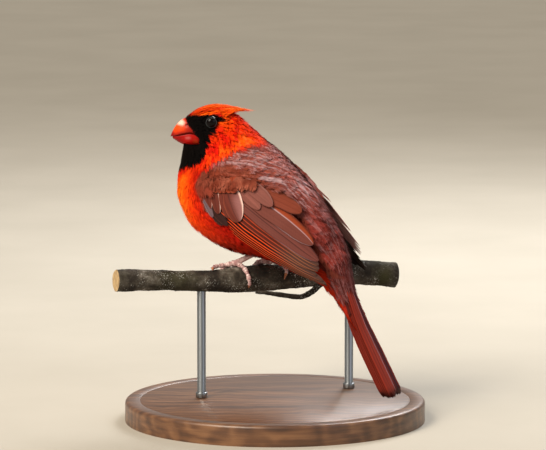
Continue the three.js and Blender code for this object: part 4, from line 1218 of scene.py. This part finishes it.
def layer_under(a, q):
    """How many flight feathers lie under a place, rising smoothly up the wing."""
    edges = []
    for root_a, root_q, tip_a, tip_q, below, above in FLIGHT:
        edges.append(root_q + (tip_q - root_q) * (a - root_a) / (tip_a - root_a) + above)
    under = (q - edges[0]) / 6
    for i in range(1, len(edges)):
        part = (q > edges[i - 1]) & (q <= edges[i])
        under = np.where(part, i - 1 + (q - edges[i - 1]) / (edges[i] - edges[i - 1]), under)
    return np.where(q > edges[-1], len(edges) - 1, under)


def two_sided(t, w):
    """The shares of length and width on a vane's upper face, then back over its under face."""
    return [np.concatenate([v, v[:, ::-1]], 1) for v in (t, w)]


def vane(side, row, height, pointed, steps, seed):
    """A closed feather vane on the wing's chart, as rings, with its length and width shares."""
    root_a, root_q, tip_a, tip_q, below, above = row
    draw = np.random.default_rng(seed)
    along = unit(np.array([tip_a - root_a, tip_q - root_q]))
    t = 1 - (1 - np.linspace(0, 1, steps)) ** 1.5
    narrow = np.sqrt(np.clip(1 - (np.clip(t - pointed, 0, 1) / (1 - pointed)) ** 2, 0.004, 1))
    narrow = narrow * (0.7 + 0.3 * np.minimum(1, t * 3))
    fray = 1 + 0.035 * draw.normal(0, 1, (steps, 2)).cumsum(0) * 0.3
    t, w = np.meshgrid(t, np.linspace(-1, 1, VANE_COLUMNS), indexing="ij")
    out = np.where(w < 0, w * above, w * below)
    edge = np.where(w < 0, fray[:, :1], fray[:, 1:]) * narrow[:, None]
    a = root_a + (tip_a - root_a) * t + along[1] * out * edge
    q = root_q + (tip_q - root_q) * t - along[0] * out * edge
    q = np.minimum(q, np.interp(a, *WING_HIGH) - (2.5 if side < 0 else 0.0))
    thick = VANE * (0.3 + 0.5 * (1 - w**2)) * (0.4 + 0.6 * narrow[:, None])
    shaft = 0.16 * np.exp(-(((w - SHAFT_AT) / 0.05) ** 2)) * (1 - 0.7 * t)
    top = height(a, q, t) + 0.22 * (1 - w**2) + shaft
    under = wing_at(side, a, q, top - thick)[:, ::-1]
    return np.concatenate([wing_at(side, a, q, top), under], 1), *two_sided(t, w)


def vane_tones(
    t, w, number, body, edge, far_edge, shaft, share, far_body=None, shaft_at=SHAFT_AT, seed=None
):
    """A vane's colours: its own tone, the edge that shows, the hidden edge and the shaft."""
    draw = np.random.default_rng(number if seed is None else seed)
    streak = np.interp(w + 0.35 * t, np.linspace(-1, 1.35, 24), draw.normal(0, 0.09, 24))[..., None]
    tone = rgb(body) * (1 + streak + draw.normal(0, 0.04))
    if far_body:
        tone = blend(tone, rgb(far_body) * (1 + streak), ease(w, shaft_at + 0.05, shaft_at - 0.05))
    shown = ease(w, 1 - share * 0.9, 1 - share * 0.6)
    # Painted shade: on the tertials the shown edge is darkened, a shadow line that takes the edge's own
    # colour only towards the tip.
    if share < 0.1:
        tone = blend(tone, tone * 0.45, shown)
        shown = shown * ease(t, 0.45, 0.7)
    tone = blend(tone, edge, shown)
    tone = blend(tone, far_edge, ease(w, -0.72, -0.95) * 0.7)
    return blend(tone, shaft, np.exp(-(((w - shaft_at) / 0.045) ** 2)) * 0.8)


def under_face(w):
    return np.arange(w.shape[1]) >= w.shape[1] // 2


def vane_map(k, t, w, rows, margin):
    """A vane's place on its piece's map, six vanes in a row, its under face beside its upper."""
    across = 0.25 + 0.22 * w + np.where(under_face(w), 0.5, 0)
    return np.stack([(k % 6 + across) / 6, (k // 6 + margin + (1 - 2 * margin) * t) / rows], -1)


# Vane: closer and glossier than the coat, with its barbs running out from the shaft.
quill = feather_material("Flight feather vane", 0.58, 0.06, vane=True)
for side, name in ((1, "left"), (-1, "right")):
    vanes = []
    for i, (row, look) in enumerate(zip(FLIGHT, FLIGHT_LOOKS)):
        # Painted light: on the far wing the tertials' hidden edges are lighter, against the shade that falls
        # on that wing.
        if side < 0 and i > 8:
            look = (*look[:2], "#8a5c54", *look[3:])

        def height(a, q, t):
            return WING_DEPTH + VANE + 0.1 + LAYER * (i - layer_under(a, q))

        vanes.append((row, look, *vane(side, row, height, 0.8 if i < 9 else 0.72, 30, i)))
    for rows, first, low, high, step, look in TIERS:
        if side < 0 and rows is INNER_GREATER:
            continue
        for i, row in enumerate(rows, first):

            def height(a, q, t):
                tilt = (q - row[1] - (row[3] - row[1]) * t) / (row[4] + row[5])
                return WING_DEPTH + low + (high - low) * t + step * (i % 2) + 0.1 * i - 0.7 * tilt

            vanes.append((row, look, *vane(side, row, height, 0.5, 20, 40 + i)))
    parts = []
    for k, (row, look, rings, t, w) in enumerate(vanes):
        tone = vane_tones(t, w, k, *look)
        if row is BROAD_COVERT:
            tone = blend(tone, "#8c5e5c", ease(w, 0.5, -0.6) * ease(t, 0.1, 0.5) * (w > -0.8) * 0.8)
        # The under faces are paler: partly the feathers' own paler undersides, partly painted light for the
        # far wing, which lies in shade.
        pale_under_share = 1.0 if 5 < k < 12 else ease(t, 0.88, 0.72)
        tone = blend(tone, "#c89492", under_face(w) * pale_under_share * 0.85)
        # Painted shade: the far wing's primaries turn near black towards their tips, where the near wing's
        # are worn brown.
        if side < 0:
            tone = blend(tone, "#0a0707", ease(t, 0.75, 0.88) * (k < 6) * (w > -0.85))
        elif k < 9:
            worn = blend("#4a322c", "#84543e", ease(w, 0.74, 0.84))
            tone = blend(tone, worn, ease(t, 0.5, 0.82) * 0.9)
        size = np.linalg.norm(rings[-1, VANE_COLUMNS // 2] - rings[0, VANE_COLUMNS // 2])
        barb = t * size - np.abs(w - SHAFT_AT) * 5.5 + 100 * k
        parts.append(closed(posed(rings), tone, vane_map(k, t, w, 6, 0.05), barb))
    piece = new_piece("wing_feathers_" + name, quill, parts)
    if side < 0:
        piece.data.flip_normals()
    settle(piece, "wing_feathers", "wing_" + name)


# Lesser coverts: small soft feathers that round off the shoulder, over the roots of the
# median row, brown with hardly any fringe.
LESSER_LOW = [[-3, 2, 6, 14, 22, 32], [5.5, 7.2, 9.0, 12.6, 16.4, 22.0]]
LESSER_HIGH, LESSER_GAP = 22, 1.25


def shoulder_coverts(side):
    """The lesser coverts of one wing, on its chart, as parts of a piece."""
    draw = np.random.default_rng(90)
    shapes = [barbs(7, 3, 0.3, 100 + k) for k in range(5)]
    parts = []
    for a in np.arange(-2.5, 31, LESSER_GAP):
        high = min(np.interp(a, *WING_HIGH) - 0.5, LESSER_HIGH)
        for q in np.arange(np.interp(a, *LESSER_LOW), high, LESSER_GAP):
            shape, triangles, strand, _ = shapes[draw.integers(5)]
            long = 5.6 + 0.8 * draw.random()
            turn = math.radians(-30 + draw.normal(0, 6))
            x, y = shape[:, 0] * long, shape[:, 1] * long
            aa = a + draw.normal(0, 0.3) + x * math.cos(turn) - y * math.sin(turn)
            qq = q + draw.normal(0, 0.3) + x * math.sin(turn) + y * math.cos(turn)
            off = -1.0 + 1.9 * shape[:, 0].clip(0) ** 0.8 + shape[:, 2] * long + draw.normal(0, 0.12)
            p = wing_at(side, aa, qq, off - 2.4 * ease(aa, 4, -3))
            hue = ease(lumps(p, 7.0, 71) * 0.7 + lumps(p, 2.5, 72) * 0.5, -0.6, 0.6)
            strands = 1 + 0.2 * (draw.random(strand.max() + 1) - 0.5)[strand]
            shade = strands * (0.75 + 0.25 * ease(shape[:, 0], 0.1, 0.6))
            spot = feather_map(shape, [0.1 + a / 60, 0.1 + q / 60])
            parts.append([[triangles], posed(p), blend("#64281a", "#94503e", hue) * shade[:, None], spot])
    return parts


for side, name in ((1, "left"), (-1, "right")):
    settle(new_piece("shoulder_coverts_" + name, contour, shoulder_coverts(side)), "wing_feathers")


# Tail: twelve long feathers folded under the central pair, crimson with dusky inner webs
# and worn, frayed tips.
TAIL_ROOT, TAIL_TIP = np.array([-57.3, 0, -2.3]), np.array([-92.0, 0, -70.2])
TAIL_LENGTH = float(np.linalg.norm(TAIL_TIP - TAIL_ROOT))
TAIL_ALONG = (TAIL_TIP - TAIL_ROOT) / TAIL_LENGTH
TAIL_OVER = np.array([TAIL_ALONG[2], 0, -TAIL_ALONG[0]])
TAIL_TOP, TAIL_COLUMNS = 2.6, 17
TAIL_ARCH = [[0, 6, 13, 22, 32], [2.6, 2.6, 2.1, 0.9, 0]]
# Each feather: its layer from the top, its left and right edges in mm, and its share of the length.
TAIL = [[0, 7.0, -0.9, 1], [1, 3.4, -6.9, 0.992]]
for pair in range(2, 7):
    out = 6.6 + 0.38 * pair
    TAIL += [[pair, out - 0.9, 0.9, 1.002 - 0.006 * pair], [pair, -0.9, -out, 1.0 - 0.005 * pair]]


def tail_vane(layer, left, right, length, seed):
    """One tail feather as closed rings, frayed at its tip, with its length and width shares."""
    worn = np.random.default_rng(seed).uniform(-0.05, 0.0, TAIL_COLUMNS)
    t = 1 - (1 - np.linspace(0, 1, 44)) ** 1.6
    t, w = np.meshgrid(t, np.linspace(-1, 1, TAIL_COLUMNS), indexing="ij")
    middle, half = (left + right) / 2, (left - right) / 2
    narrow = np.sqrt(np.clip(1 - (np.clip(t - 0.95, 0, 1) / 0.056) ** 2, 0.1, 1))
    spread = 0.62 + 0.38 * ease(t, 0, 0.7)
    y = (middle + half * w * narrow * (1 + 0.012 * np.sin(t * 40 + seed))) * spread
    reach = t * TAIL_LENGTH * length * (1 + worn * ease(t, 0.93, 1.0))
    shaft = 0.2 * np.exp(-((w / 0.07) ** 2)) * (1 - 0.6 * t)
    off = TAIL_TOP - layer * LAYER + shaft - 0.16 * w**2 + 0.15 * np.sin(seed * 2.1 + t * 4)
    off = off + np.interp(reach, *TAIL_ARCH) * (1 - 0.35 * (y / 7) ** 2)
    thick = 0.34 * (1 - 0.45 * w**2) * (1 - 0.4 * t)
    line = TAIL_ROOT + TAIL_ALONG * reach[..., None] + np.array([0, 1, 0]) * y[..., None]
    upper, under = [line + TAIL_OVER * o[..., None] for o in (off, off - thick)]
    return np.concatenate([upper, under[:, ::-1]], 1), *two_sided(t, w)


parts = []
for k, row in enumerate(TAIL):
    rings, t, w = tail_vane(*row, seed=k)
    draw = np.random.default_rng(70 + k)
    streak = np.interp(w + 0.3 * t, np.linspace(-1, 1.3, 40), draw.normal(0, 0.2, 40))
    outer = w if row[1] + row[2] >= 0 else -w
    tone = rgb("#6a1c14" if k == 1 else "#822c22") * (1 + streak[..., None])
    tone = blend(tone, "#9a301c", ease(outer, 0.6, 0.95) * (0.4 if k < 2 else 0.1))
    tone = blend(tone, "#2c1a22", ease(outer, -0.2, -0.6) * 0.8 * (k > 0))
    tone = blend(tone, "#a8909c", ease(outer, -0.86, -0.95) * 0.85)
    # Painted shadow: a dark band down the right central feather, the shade along a feather's edge.
    tone = blend(tone, "#1c1020", np.exp(-(((w + 0.55) / 0.3) ** 2)) * 0.9 * (k == 1))
    tone = blend(tone, "#1c0d0c", ease(t + 0.02 * np.sin(w * 23 + k), 0.9, 0.985) * 0.92)
    tone = blend(tone, "#3e1612", np.exp(-((w / 0.06) ** 2)) * 0.7)
    barb = t * TAIL_LENGTH - np.abs(w) * 8.0 + 100 * k
    parts.append(closed(posed(rings), tone, vane_map(k, t, w, 2, 0.02), barb))
settle(new_piece("tail_feathers", quill, parts), "tail_feathers", "tail")


# Studio: a wide plain pale floor under even daylight, a soft window on the left, a weaker
# one on the right and a strip behind for the outline.
bpy.ops.mesh.primitive_plane_add(size=24, location=(0, 0, 0))
floor = bpy.context.object
floor.name = "floor"
# Paper: dull and even, a pale warm grey with broad faint clouds.
paper = grained("Floor paper, pale", 111, 4.0, "#aea89d", "#b4aea3", Roughness=0.95, Specular_IOR_Level=0.1)
floor.data.materials.append(paper)

world = bpy.data.worlds.new("Studio")
world.use_nodes = True
sky = world.node_tree.nodes["Background"]
sky.inputs["Color"].default_value = linear("#e9e6e0")
sky.inputs["Strength"].default_value = 0.42
bpy.context.scene.world = world
bpy.ops.object.light_add(type="SUN", rotation=(math.radians(46), 0, math.radians(-38)))
daylight = bpy.context.object
daylight.name = "daylight"
daylight.data.energy = 2.2
daylight.data.angle = math.radians(24)
daylight.data.color = linear("#fff3e0")[:3]
AIM = Vector((0.0, 0.015, 0.11))
for name, spot, size, power, tint in (
    ("window left", (-0.75, -0.75, 0.85), 0.7, 13.0, "#fff4e2"),
    ("window right", (0.95, -0.7, 0.6), 0.9, 2.5, "#eaf0ff"),
    ("strip behind", (0.35, 0.75, 0.8), 0.5, 12.0, "#ffffff"),
):
    bpy.ops.object.light_add(type="AREA", location=spot)
    lamp = bpy.context.object
    lamp.name = name
    lamp.data.size = size
    lamp.data.energy = power
    lamp.data.color = linear(tint)[:3]
    lamp.rotation_euler = (AIM - Vector(spot)).to_track_quat("-Z", "Y").to_euler()

# Camera: far off with a long lens, looking a little down on the bird from behind its left side.
TARGET = Vector((-0.00115, 0.0181, 0.1102))
ELEVATION, DISTANCE = math.radians(8), 2.616
bpy.ops.object.camera_add()
camera = bpy.context.object
camera.data.lens = 300
camera.data.sensor_width = 36
camera.location = TARGET + DISTANCE * Vector((0, -math.cos(ELEVATION), math.sin(ELEVATION)))
camera.rotation_euler = (math.radians(90) - ELEVATION, 0, 0)
bpy.context.scene.camera = camera
bpy.context.scene.view_settings.view_transform = "Standard"
